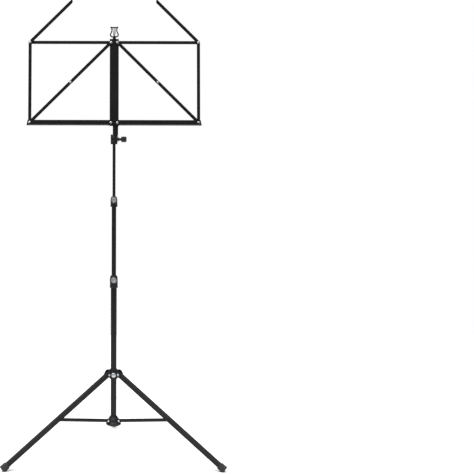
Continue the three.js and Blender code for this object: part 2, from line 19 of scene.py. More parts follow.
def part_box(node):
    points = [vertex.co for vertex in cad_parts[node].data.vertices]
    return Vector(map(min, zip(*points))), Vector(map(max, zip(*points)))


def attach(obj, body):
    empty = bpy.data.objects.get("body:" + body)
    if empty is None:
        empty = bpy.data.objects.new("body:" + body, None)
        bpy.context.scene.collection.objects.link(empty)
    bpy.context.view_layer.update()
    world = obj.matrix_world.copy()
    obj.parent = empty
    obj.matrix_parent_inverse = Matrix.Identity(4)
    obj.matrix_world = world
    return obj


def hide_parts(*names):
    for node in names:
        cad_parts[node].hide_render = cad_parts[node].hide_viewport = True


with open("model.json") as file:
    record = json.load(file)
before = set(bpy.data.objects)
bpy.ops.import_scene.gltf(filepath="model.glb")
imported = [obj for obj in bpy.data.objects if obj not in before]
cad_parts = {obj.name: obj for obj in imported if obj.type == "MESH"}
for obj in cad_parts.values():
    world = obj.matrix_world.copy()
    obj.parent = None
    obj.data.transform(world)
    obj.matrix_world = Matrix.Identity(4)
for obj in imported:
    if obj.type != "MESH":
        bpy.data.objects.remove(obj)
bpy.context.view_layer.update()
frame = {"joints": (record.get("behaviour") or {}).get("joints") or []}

LOG = logging.getLogger("music_stand")
MM = 0.001
GAP = 0.3  # clearance between neighbouring pieces, mm
Points = Sequence[tuple[float, ...]]


class Slot(Enum):
    """Material slots of the record."""

    PAINT = "black_paint"
    PLASTIC = "black_plastic"
    GUIDE = "guide_plastic"
    ZINC = "bright_zinc"
    RUBBER = "foot_rubber"


class Turn(Enum):
    """Quarter turns that bring a piece drawn along Z onto another axis."""

    ALONG_X = ("Y", 90.0)
    ALONG_Y = ("X", -90.0)
    FACING_FRONT = ("X", 90.0)

    def matrix(self) -> Matrix:
        """Returns the turn as a 4x4 matrix."""
        axis, degrees = self.value
        return Matrix.Rotation(math.radians(degrees), 4, axis)


# ---------------------------------------------------------------- node helpers


def add_node(tree: bpy.types.NodeTree, kind: str, settings: Optional[dict] = None,
             inputs: Optional[dict] = None) -> bpy.types.Node:
    """Adds a node with its settings and its values or links.

    Args:
        tree: node tree that gets the node.
        kind: the node's type name.
        settings: attribute name to value.
        inputs: socket name or number to a value, or to the output socket that feeds it.

    Returns:
        The new node.
    """
    node = tree.nodes.new(kind)
    for name, value in (settings or {}).items():
        setattr(node, name, value)
    for key, value in (inputs or {}).items():
        if isinstance(value, bpy.types.NodeSocket):
            tree.links.new(value, node.inputs[key])
        else:
            node.inputs[key].default_value = value
    return node


def linear(colour: str) -> tuple[float, float, float, float]:
    """Turns an sRGB colour into linear light.

    Args:
        colour: hex value such as "#1a1b1c".

    Returns:
        Linear red, green and blue, and an alpha of 1.
    """
    parts = [int(colour[start:start + 2], 16) / 255 for start in (1, 3, 5)]
    bright = [p / 12.92 if p <= 0.04045 else ((p + 0.055) / 1.055) ** 2.4 for p in parts]
    return (bright[0], bright[1], bright[2], 1.0)


# ---------------------------------------------------------------- finishes


@dataclass(frozen=True)
class Finish:
    """A surface finish: two close colours, gloss, and a grain of a real size.

    Attributes:
        name: the material's real name.
        colour: sRGB colour of most of the surface.
        tint: sRGB colour of its slow variation.
        roughness: lowest and highest roughness.
        grain: size of the surface grain in millimetres.
        patch: size of the slow variation in millimetres.
        bump: height of the grain in millimetres.
        metallic: 1 for bare metal.
        specular: specular level, 0.5 is normal.
    """

    name: str
    colour: str
    tint: str
    roughness: tuple[float, float]
    grain: float
    patch: float = 30.0
    bump: float = 0.02
    metallic: float = 0.0
    specular: float = 0.5

    def material(self) -> bpy.types.Material:
        """Builds the material once.

        Returns:
            The material, which every piece of this finish shares.
        """
        ready = bpy.data.materials.get(self.name)
        if ready:
            return ready
        material = bpy.data.materials.new(self.name)
        material.use_nodes = True
        tree = material.node_tree
        shader = tree.nodes["Principled BSDF"]
        place = add_node(tree, "ShaderNodeTexCoord").outputs["Object"]
        patches = add_node(tree, "ShaderNodeTexNoise", None,
                           {"Vector": place, "Scale": 1 / (self.patch * MM), "Detail": 4.0})
        grain = add_node(tree, "ShaderNodeTexNoise", None,
                         {"Vector": place, "Scale": 1 / (self.grain * MM), "Detail": 3.0})
        ramp = add_node(tree, "ShaderNodeMapRange", None,
                        {"Value": patches.outputs[0], "From Min": 0.35, "From Max": 0.7})
        colour = add_node(tree, "ShaderNodeMix", {"data_type": "RGBA"},
                          {"Factor": ramp.outputs[0],
                           6: linear(self.colour), 7: linear(self.tint)})
        gloss = add_node(tree, "ShaderNodeMapRange", None,
                         {"Value": grain.outputs[0], "From Min": 0.3, "From Max": 0.7,
                          "To Min": self.roughness[0], "To Max": self.roughness[1]})
        bump = add_node(tree, "ShaderNodeBump", None,
                        {"Height": grain.outputs[0], "Strength": 0.6, "Distance": self.bump * MM})
        tree.links.new(colour.outputs[2], shader.inputs["Base Color"])
        tree.links.new(gloss.outputs[0], shader.inputs["Roughness"])
        tree.links.new(bump.outputs[0], shader.inputs["Normal"])
        shader.inputs["Metallic"].default_value = self.metallic
        shader.inputs["Specular IOR Level"].default_value = self.specular
        return material


# Polyester powder coat baked on steel tube: deep black, satin, a faint orange peel.
TUBE_COAT = Finish("satin_powder_coated_steel_tube", "#101012", "#161618", (0.34, 0.46),
                   grain=0.9, patch=60.0, bump=0.02, specular=0.26)
# The same coat on thin stamped strip, a little flatter, because the strips are shot blasted first.
STRIP_COAT = Finish("matt_powder_coated_steel_strip", "#0a0a0b", "#101011", (0.52, 0.66),
                    grain=0.6, patch=45.0, bump=0.015, specular=0.16)
# Glass-filled nylon from a spark-eroded mould: black, fine even grain, soft highlights.
NYLON = Finish("moulded_glass_filled_nylon", "#121214", "#18181b", (0.42, 0.58),
               grain=0.45, patch=20.0, bump=0.03, specular=0.3)
# Glossier nylon where a hand polishes it.
KNOB_NYLON = Finish("hand_polished_nylon", "#161618", "#1e1e21", (0.25, 0.4),
                    grain=0.5, patch=12.0, bump=0.012, specular=0.4)
# Bright zinc on rivets and screws: near white metal, slightly cloudy.
ZINC = Finish("bright_zinc_plated_steel", "#c9ccd1", "#aeb1b6", (0.2, 0.36),
              grain=0.35, patch=4.0, bump=0.008, metallic=1.0)
# Painted highlight: light grey metal for the disc let into a knob's face. It stands in for the gloss that
# light from above lays on the upper half of the knob's dark domed face; its lathe grooves are in the mesh.
PAINTED_HIGHLIGHT_METAL = Finish("turned_aluminium", "#bcbec2", "#a4a6aa", (0.28, 0.46),
                          grain=0.25, patch=6.0, bump=0.01, metallic=1.0)
# Carbon-filled rubber: dark grey, no gloss, slightly dusty.
RUBBER = Finish("moulded_foot_rubber", "#2b2b2d", "#3a3a3b", (0.72, 0.9),
                grain=0.7, patch=9.0, bump=0.05, specular=0.3)
# Natural acetal of the guides inside the tubes: milky white, waxy.
ACETAL = Finish("natural_acetal", "#dcdbd3", "#cfcdc2", (0.3, 0.4),
                grain=0.6, patch=15.0, bump=0.01)


# ---------------------------------------------------------------- shape helpers


def rounded(points: Points, radius: float = 0.0, closed: bool = True,
            steps: int = 5) -> list[tuple[float, float]]:
    """Rounds the corners of an outline.

    Args:
        points: corners as (x, y), or (x, y, radius) where a corner has its own radius.
        radius: radius of the other corners.
        closed: False leaves the first and last point as they are.
        steps: spans of each round corner.

    Returns:
        The outline's points.
    """
    result: list[tuple[float, float]] = []
    count = len(points)
    for index, corner in enumerate(points):
        here = Vector(corner[:2])
        own = corner[2] if len(corner) > 2 else radius
        if own <= 0 or (not closed and index in (0, count - 1)):
            result.append(here.to_tuple())
            continue
        before = Vector(points[index - 1][:2]) - here
        after = Vector(points[(index + 1) % count][:2]) - here
        half = before.angle(after) / 2
        reach = min(own / math.tan(half), before.length * 0.48, after.length * 0.48)
        start, end = here + before.normalized() * reach, here + after.normalized() * reach
        for step in range(steps + 1):
            t = step / steps
            result.append((start * (1 - t) ** 2 + here * 2 * t * (1 - t) + end * t ** 2).to_tuple())
    return result


def bar_outline(length: float, radius: float, steps: int = 20) -> list[tuple[float, float]]:
    """Draws a bar with round ends, from the origin along X.

    Args:
        length: distance between the centres of its ends.
        radius: half its width.
        steps: spans of each round end.

    Returns:
        The outline's points.
    """
    ends = []
    for centre, start in ((0.0, 90.0), (length, -90.0)):
        for step in range(steps + 1):
            angle = math.radians(start + 180 * step / steps)
            ends.append((centre + radius * math.cos(angle), radius * math.sin(angle)))
    return ends


class Solid:
    """Closed mesh under construction, in millimetres."""

    def __init__(self, mesh: bpy.types.Mesh) -> None:
        """Holds the mesh in a scratch object."""
        self.obj = bpy.data.objects.new("scratch", mesh)
        bpy.context.scene.collection.objects.link(self.obj)

    @classmethod
    def from_faces(cls, verts: Sequence, faces: Sequence) -> "Solid":
        """Makes a solid of faces and turns them outwards.

        Args:
            verts: corners as (x, y, z).
            faces: lists of corner numbers.

        Returns:
            The solid.
        """
        mesh = bpy.data.meshes.new("scratch")
        mesh.from_pydata(verts, [], faces)
        work = bmesh.new()
        work.from_mesh(mesh)
        bmesh.ops.recalc_face_normals(work, faces=work.faces)
        work.to_mesh(mesh)
        work.free()
        return cls(mesh)

    @classmethod
    def turned(cls, profile: Points, segments: int = 64, ring: bool = False) -> "Solid":
        """Turns a profile of (radius, height) points round Z.

        Args:
            profile: points from axis to axis, or round a closed loop.
            segments: facets round the axis.
            ring: True joins the last point to the first.

        Returns:
            The solid.
        """
        verts: list = []
        rings: list[list[int]] = []
        for radius, height in profile:
            start = len(verts)
            if radius < 1e-6:
                verts.append((0.0, 0.0, height))
                rings.append([start] * segments)
                continue
            for step in range(segments):
                angle = math.tau * step / segments
                verts.append((radius * math.cos(angle), radius * math.sin(angle), height))
            rings.append(list(range(start, start + segments)))
        pairs = list(zip(rings, rings[1:]))
        if ring:
            pairs.append((rings[-1], rings[0]))
        faces = []
        for low, high in pairs:
            for step in range(segments):
                after = (step + 1) % segments
                corners = [low[step], low[after], high[after], high[step]]
                faces.append(list(dict.fromkeys(corners)))
        return cls.from_faces(verts, faces)

    @classmethod
    def lofted(cls, sections: Sequence[Sequence]) -> "Solid":
        """Skins sections and closes both ends.

        Args:
            sections: rings of equally many (x, y, z) points.

        Returns:
            The solid.
        """
        verts = [point for section in sections for point in section]
        count = len(sections[0])
        faces = [list(range(count)), list(range(len(verts) - count, len(verts)))]
        for number in range(len(sections) - 1):
            for step in range(count):
                after = (step + 1) % count
                low, high = number * count, (number + 1) * count
                faces.append([low + step, low + after, high + after, high + step])
        return cls.from_faces(verts, faces)

    @classmethod
    def plate(cls, outline: Points, bottom: float, top: float) -> "Solid":
        """Raises an XY outline from one height to another."""
        return cls.lofted([[(x, y, z) for x, y in outline] for z in (bottom, top)])

    @classmethod
    def upright(cls, outline: Points, front: float, back: float) -> "Solid":
        """Gives an XZ outline its thickness along Y."""
        return cls.lofted([[(x, y, z) for x, z in outline] for y in (front, back)])

    @classmethod
    def along_x(cls, outline: Points, start: float, end: float) -> "Solid":
        """Runs a YZ outline along X."""
        return cls.lofted([[(x, y, z) for y, z in outline] for x in (start, end)])

    @classmethod
    def block(cls, low: Sequence[float], high: Sequence[float]) -> "Solid":
        """Box between two corners."""
        corners = [(low[0], low[1]), (high[0], low[1]), (high[0], high[1]), (low[0], high[1])]
        return cls.plate(corners, low[2], high[2])

    @classmethod
    def rod(cls, radius: float, bottom: float, top: float, segments: int = 32) -> "Solid":
        """Round bar along Z."""
        return cls.turned([(0, bottom), (radius, bottom), (radius, top), (0, top)], segments)

    @classmethod
    def cross_rod(cls, radius: float, half: float, x: float = 0.0, z: float = 0.0) -> "Solid":
        """Round bar along Y through (x, z)."""
        return cls.rod(radius, -half, half).moved(Matrix.Translation((x, 0, z)) @ Turn.ALONG_Y.matrix())

    def copy(self) -> "Solid":
        """Returns a copy."""
        return Solid(self.obj.data.copy())

    def discard(self) -> None:
        """Deletes the scratch object and its mesh."""
        mesh = self.obj.data
        bpy.data.objects.remove(self.obj)
        bpy.data.meshes.remove(mesh)

    def moved(self, matrix: Matrix) -> "Solid":
        """Moves the vertices, and keeps the faces outwards in a mirror image.

        Args:
            matrix: where they go.

        Returns:
            This solid.
        """
        self.obj.data.transform(matrix)
        if matrix.determinant() < 0:
            self.obj.data.flip_normals()
        return self

    def baked(self) -> "Solid":
        """Replaces the mesh with what its modifiers make.

        Returns:
            This solid.
        """
        graph = bpy.context.evaluated_depsgraph_get()
        mesh = bpy.data.meshes.new_from_object(self.obj.evaluated_get(graph))
        old = self.obj.data
        self.obj.modifiers.clear()
        self.obj.data = mesh
        bpy.data.meshes.remove(old)
        return self

    def bevelled(self, width: float, segments: int = 3, angle: float = 40.0) -> "Solid":
        """Rounds the sharp edges.

        Args:
            width: width of the bevel.
            segments: spans across it.
            angle: edges below this many degrees are left alone.

        Returns:
            This solid.
        """
        bevel = self.obj.modifiers.new("bevel", "BEVEL")
        bevel.width = width
        bevel.segments = segments
        bevel.limit_method = "ANGLE"
        bevel.angle_limit = math.radians(angle)
        return self.baked()

    def combined(self, other: "Solid", operation: str) -> "Solid":
        """Combines this solid with another one.

        Args:
            other: the other solid, which is used up.
            operation: UNION, DIFFERENCE or INTERSECT.

        Returns:
            This solid.
        """
        boolean = self.obj.modifiers.new("boolean", "BOOLEAN")
        boolean.operation = operation
        boolean.solver = "EXACT"
        boolean.object = other.obj
        self.baked()
        other.discard()
        return self

    def joined(self, *others: "Solid") -> "Solid":
        """Adds other solids to this one.

        Args:
            others: solids that are used up.

        Returns:
            This solid.
        """
        for other in others:
            self.combined(other, "UNION")
        return self

    def cut(self, *tools: "Solid") -> "Solid":
        """Takes other solids away from this one.

        Args:
            tools: solids that are used up.

        Returns:
            This solid.
        """
        for tool in tools:
            self.combined(tool, "DIFFERENCE")
        return self

    def shaped(self, tree: bpy.types.NodeTree, **values: object) -> "Solid":
        """Runs a geometry node tree over the solid and keeps the result.

        Args:
            tree: the tree.
            values: its inputs by name, with _ for a space.

        Returns:
            This solid.
        """
        modifier = self.obj.modifiers.new(tree.name, "NODES")
        modifier.node_group = tree
        for socket in tree.interface.items_tree:
            key = socket.name.replace(" ", "_").lower()
            if socket.in_out == "INPUT" and key in values:
                modifier[socket.identifier] = values[key]
        return self.baked()


# ---------------------------------------------------------------- geometry node trees


def new_tree(name: str, floats: dict[str, float], objects: Sequence[str] = ()) -> tuple:
    """Starts a geometry node tree.

    Args:
        name: the tree's name.
        floats: its number inputs and their defaults.
        objects: its object inputs.

    Returns:
        The tree and its group input node.
    """
    tree = bpy.data.node_groups.new(name, "GeometryNodeTree")
    tree.interface.new_socket("Geometry", in_out="INPUT", socket_type="NodeSocketGeometry")
    for label in objects:
        tree.interface.new_socket(label, in_out="INPUT", socket_type="NodeSocketObject")
    for label, value in floats.items():
        socket = tree.interface.new_socket(label, in_out="INPUT", socket_type="NodeSocketFloat")
        socket.default_value = value
    tree.interface.new_socket("Material", in_out="INPUT", socket_type="NodeSocketMaterial")
    tree.interface.new_socket("Geometry", in_out="OUTPUT", socket_type="NodeSocketGeometry")
    return tree, add_node(tree, "NodeGroupInput")


def close_tree(tree: bpy.types.NodeTree, start: bpy.types.Node,
               shape: bpy.types.NodeSocket) -> bpy.types.NodeTree:
    """Ends a tree in Realize Instances and Set Material.

    Args:
        tree: the tree.
        start: its group input node.
        shape: the geometry that it has made.

    Returns:
        The finished tree.
    """
    real = add_node(tree, "GeometryNodeRealizeInstances", None, {"Geometry": shape})
    dressed = add_node(tree, "GeometryNodeSetMaterial", None,
                       {"Geometry": real.outputs[0], "Material": start.outputs["Material"]})
    add_node(tree, "NodeGroupOutput", None, {0: dressed.outputs[0]})
    return tree


def maths(tree: bpy.types.NodeTree, operation: str, *values: object) -> bpy.types.NodeSocket:
    """Adds a Math node and returns its output."""
    node = add_node(tree, "ShaderNodeMath", {"operation": operation}, dict(enumerate(values)))
    return node.outputs[0]


def flute_tree() -> bpy.types.NodeTree:
    """Makes the tree that presses even flutes into the rim of a turned solid on Z.

    Returns:
        The tree, with the inputs Radius, Flutes and Depth.
    """
    tree, start = new_tree("rim_flutes", {"Radius": 10.0, "Flutes": 12.0, "Depth": 0.8})
    place = add_node(tree, "GeometryNodeInputPosition").outputs[0]
    parts = add_node(tree, "ShaderNodeSeparateXYZ", None, {0: place}).outputs
    flat = maths(tree, "SQRT", maths(tree, "ADD", maths(tree, "MULTIPLY", parts[0], parts[0]),
                                     maths(tree, "MULTIPLY", parts[1], parts[1])))
    turn = maths(tree, "MULTIPLY", maths(tree, "ARCTAN2", parts[1], parts[0]), start.outputs["Flutes"])
    wave = maths(tree, "MULTIPLY_ADD", maths(tree, "COSINE", turn), 0.5, 0.5)
    press = maths(tree, "MULTIPLY", maths(tree, "POWER", wave, 1.6), start.outputs["Depth"])
    rim = add_node(tree, "ShaderNodeMapRange", {"interpolation_type": "SMOOTHSTEP"},
                   {"Value": maths(tree, "DIVIDE", flat, start.outputs["Radius"]),
                    "From Min": 0.72, "From Max": 0.98}).outputs[0]
    inward = maths(tree, "MULTIPLY", maths(tree, "MULTIPLY", press, rim), -1.0)
    scale = maths(tree, "DIVIDE", inward, maths(tree, "MAXIMUM", flat, 0.01))
    radial = add_node(tree, "ShaderNodeCombineXYZ", None, {0: parts[0], 1: parts[1]}).outputs[0]
    offset = add_node(tree, "ShaderNodeVectorMath", {"operation": "SCALE"}, {0: radial, "Scale": scale})
    moved = add_node(tree, "GeometryNodeSetPosition", None,
                     {"Geometry": start.outputs["Geometry"], "Offset": offset.outputs[0]})
    return close_tree(tree, start, moved.outputs[0])


def rib_tree() -> bpy.types.NodeTree:
    """Makes the tree that cuts even grooves across X, so that ribs stay between them.

    Returns:
        The tree, with the inputs Start, End, Pitch and Height.
    """
    tree, start = new_tree("side_ribs", {"Start": 0.0, "End": 10.0, "Pitch": 3.0, "Height": 0.4})
    place = add_node(tree, "GeometryNodeInputPosition").outputs[0]
    parts = add_node(tree, "ShaderNodeSeparateXYZ", None, {0: place}).outputs
    along = maths(tree, "SUBTRACT", parts[0], start.outputs["Start"])
    turns = maths(tree, "DIVIDE", along, start.outputs["Pitch"])
    wave = maths(tree, "COSINE", maths(tree, "MULTIPLY", turns, math.tau))
    inside = maths(tree, "MULTIPLY", maths(tree, "GREATER_THAN", parts[0], start.outputs["Start"]),
                   maths(tree, "LESS_THAN", parts[0], start.outputs["End"]))
    sunk = maths(tree, "MULTIPLY_ADD", wave, 0.5, -0.5)
    push = maths(tree, "MULTIPLY", maths(tree, "MULTIPLY", sunk, start.outputs["Height"]), inside)
    normal = add_node(tree, "GeometryNodeInputNormal").outputs[0]
    offset = add_node(tree, "ShaderNodeVectorMath", {"operation": "SCALE"}, {0: normal, "Scale": push})
    moved = add_node(tree, "GeometryNodeSetPosition", None,
                     {"Geometry": start.outputs["Geometry"], "Offset": offset.outputs[0]})
    return close_tree(tree, start, moved.outputs[0])


def rivet_tree() -> bpy.types.NodeTree:
    """Makes the tree that sets a rivet on each point, along the point's own axis.

    Returns:
        The tree, with the inputs Rivet and Size.
    """
    tree, start = new_tree("set_rivets", {"Size": 1.0}, ["Rivet"])
    direction = add_node(tree, "GeometryNodeInputNamedAttribute",
                         {"data_type": "FLOAT_VECTOR"}, {"Name": "axis"})
    turn = add_node(tree, "FunctionNodeAlignRotationToVector",
                    {"axis": "Z"}, {"Vector": direction.outputs[0]})
    shape = add_node(tree, "GeometryNodeObjectInfo", None, {"Object": start.outputs["Rivet"]})
    points = add_node(tree, "GeometryNodeMeshToPoints", None, {"Mesh": start.outputs["Geometry"]})
    placed = add_node(tree, "GeometryNodeInstanceOnPoints", None,
                      {"Points": points.outputs[0], "Instance": shape.outputs["Geometry"],
                       "Rotation": turn.outputs[0], "Scale": start.outputs["Size"]})
    return close_tree(tree, start, placed.outputs[0])


# ---------------------------------------------------------------- placing


class Layout:
    """Places and axes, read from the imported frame."""

    def __init__(self, joints: Sequence[dict]) -> None:
        """Indexes the joints by name and finds the column.

        Args:
            joints: the frame's joints.
        """
        self.joints = {joint["name"]: joint for joint in joints}
        low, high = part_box("lower_tube")
        self.column = Matrix.Translation(((low.x + high.x) / 2, (low.y + high.y) / 2, 0))

    def pivot(self, joint: str) -> Vector:
        """A point on a joint's axis, in metres."""
        return Vector(self.joints[joint]["pos_m"])

    def axis(self, joint: str) -> Vector:
        """A joint's axis."""
        return Vector(self.joints[joint]["axis"]).normalized()

    def spoke(self, name: str) -> Matrix:
        """Frame with X out along a leg, Y across it and Z up, on the column's axis.

        Args:
            name: a leg's name: left, right or rear.

        Returns:
            The frame, in metres.
        """
        out = self.pivot(f"leg_swing_{name}") - self.column.translation
        out.z = 0
        out.normalize()
        across = Vector((0, 0, 1)).cross(out)
        return framed(out, across, self.column.translation)

    def leg(self, name: str) -> Matrix:
        """Frame on a leg's pivot with X down the leg and Z out of its upper side.

        Args:
            name: a leg's name: left, right or rear.

        Returns:
            The frame, in metres.
        """
        top = self.pivot(f"leg_swing_{name}")
        low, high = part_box(f"strut_leg_pin_{name}")
        along = ((low + high) / 2 - top).normalized()
        across = self.spoke(name).col[1].to_3d()
        return framed(along, across, top)

    def strut(self, name: str) -> Matrix:
        """Frame on a strut's hub pivot with X along the strut.

        Args:
            name: a strut's name: left, right or rear.

        Returns:
            The frame, in metres.
        """
        inner = self.pivot(f"strut_swing_{name}")
        low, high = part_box(f"strut_leg_pin_{name}")
        along = ((low + high) / 2 - inner).normalized()
        across = self.spoke(name).col[1].to_3d()
        return framed(along, across, inner)

    def desk(self) -> Matrix:
        """Frame on the tilt pivot with X across the desk, Y up it and Z out of its face."""
        up = (self.pivot("top_bar_turn_right") - self.pivot("shelf_fold_right")).normalized()
        return framed(Vector((1, 0, 0)), up, self.pivot("desk_tilt"))

    def on_desk(self, joint: str) -> Vector:
        """A desk pivot in the desk frame, in millimetres."""
        return (self.desk().inverted() @ self.pivot(joint)) / MM


def framed(x_axis: Vector, y_axis: Vector, origin: Vector) -> Matrix:
    """Makes the matrix of a frame.

    Args:
        x_axis: its first axis.
        y_axis: its second axis.
        origin: its origin.

    Returns:
        The matrix.
    """
    z_axis = x_axis.cross(y_axis)
    matrix = Matrix((x_axis, y_axis, z_axis)).transposed().to_4x4()
    matrix.translation = origin
    return matrix


def shift(x: float = 0.0, y: float = 0.0, z: float = 0.0) -> Matrix:
    """Translation in millimetres."""
    return Matrix.Translation((x, y, z))


MIRROR = Matrix.Scale(-1, 4, (1, 0, 0))


def settle(solid: Solid, name: str, place: Matrix, body: str, finish: Finish,
           nodes: Sequence[str] = (), smooth: float = 38.0) -> bpy.types.Object:
    """Turns a solid into a finished piece of the stand.

    Args:
        solid: the shape in millimetres, in its own frame.
        name: name of the piece.
        place: that frame in the row frame, in metres.
        body: body that the piece moves with.
        finish: its surface.
        nodes: CAD nodes that it stands for.
        smooth: edges sharper than this many degrees stay sharp.

    Returns:
        The finished object.
    """
    piece = solid.obj
    solid.moved(place @ Matrix.Scale(MM, 4))
    piece.name = name
    piece.data.name = name
    piece.data.materials.clear()
    piece.data.materials.append(finish.material())
    piece.data.shade_smooth()
    piece.data.set_sharp_from_angle(angle=math.radians(smooth))
    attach(piece, body)
    if nodes:
        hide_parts(*nodes)
    LOG.info("%s rides on %s, %d faces", name, body, len(piece.data.polygons))
    return piece


def set_rivets(template: Solid, name: str, spots: Sequence[tuple[Vector, Vector]], body: str,
               nodes: Sequence[str], tree: bpy.types.NodeTree, finish: Finish = ZINC) -> None:
    """Sets one kind of rivet at several places of one body.

    Args:
        template: one rivet in millimetres, its head towards +Z; it is used up.
        name: name of the piece.
        spots: place in metres and axis of each rivet.
        body: body that holds them.
        nodes: CAD nodes that they stand for.
        tree: the rivet tree.
        finish: their surface.
    """
    mesh = bpy.data.meshes.new(name)
    mesh.from_pydata([tuple(place / MM) for place, _ in spots], [], [])
    axes = mesh.attributes.new("axis", "FLOAT_VECTOR", "POINT")
    axes.data.foreach_set("vector", [part for _, axis in spots for part in axis])
    rivets = Solid(mesh).shaped(tree, rivet=template.obj, size=1.0, material=finish.material())
    template.discard()
    settle(rivets, name, Matrix.Identity(4), body, finish, nodes)


# ---------------------------------------------------------------- column


@dataclass
class Knob:
    """Moulded hand knob on a screw, with flutes in its rim and a light grey metal disc let into its face
    as a painted highlight.

    Attributes:
        profile: turned outline from the screw's tip to the face.
        radius: radius of the rim.
        flutes: flutes round the rim.
        depth: their depth.
        face: radius and front height of the light grey disc of painted highlight in its face, or None.
        grooves: lathe grooves in the face.
    """

    profile: Points
    radius: float
    flutes: int
    depth: float
    face: Optional[tuple[float, float]] = None
    grooves: int = 6

    def grip(self, tree: bpy.types.NodeTree, finish: Finish) -> Solid:
        """Makes the fluted knob on Z.

        Args:
            tree: the flute tree.
            finish: the knob's surface.

        Returns:
            The solid.
        """
        body = Solid.turned(rounded(self.profile, 0.0, closed=False), self.flutes * 12)
        return body.shaped(tree, radius=self.radius, flutes=float(self.flutes), depth=self.depth,
                           material=finish.material())

    def face_disc(self) -> Solid:
        """Makes the light grey disc of painted highlight in the knob's face, with lathe grooves in its
        mesh.

        Returns:
            The solid.
        """
        radius, front = self.face
        back = front - 1.2
        profile = [(0.0, back), (radius, back), (radius, front - 0.5), (radius - 0.5, front - 0.1)]
        for groove in range(self.grooves, 0, -1):
            at = (radius - 0.8) * groove / self.grooves
            profile += [(at, front), (at - 0.25, front), (at - 0.4, front - 0.12), (at - 0.55, front)]
        return Solid.turned(profile + [(0.0, front)], 72)


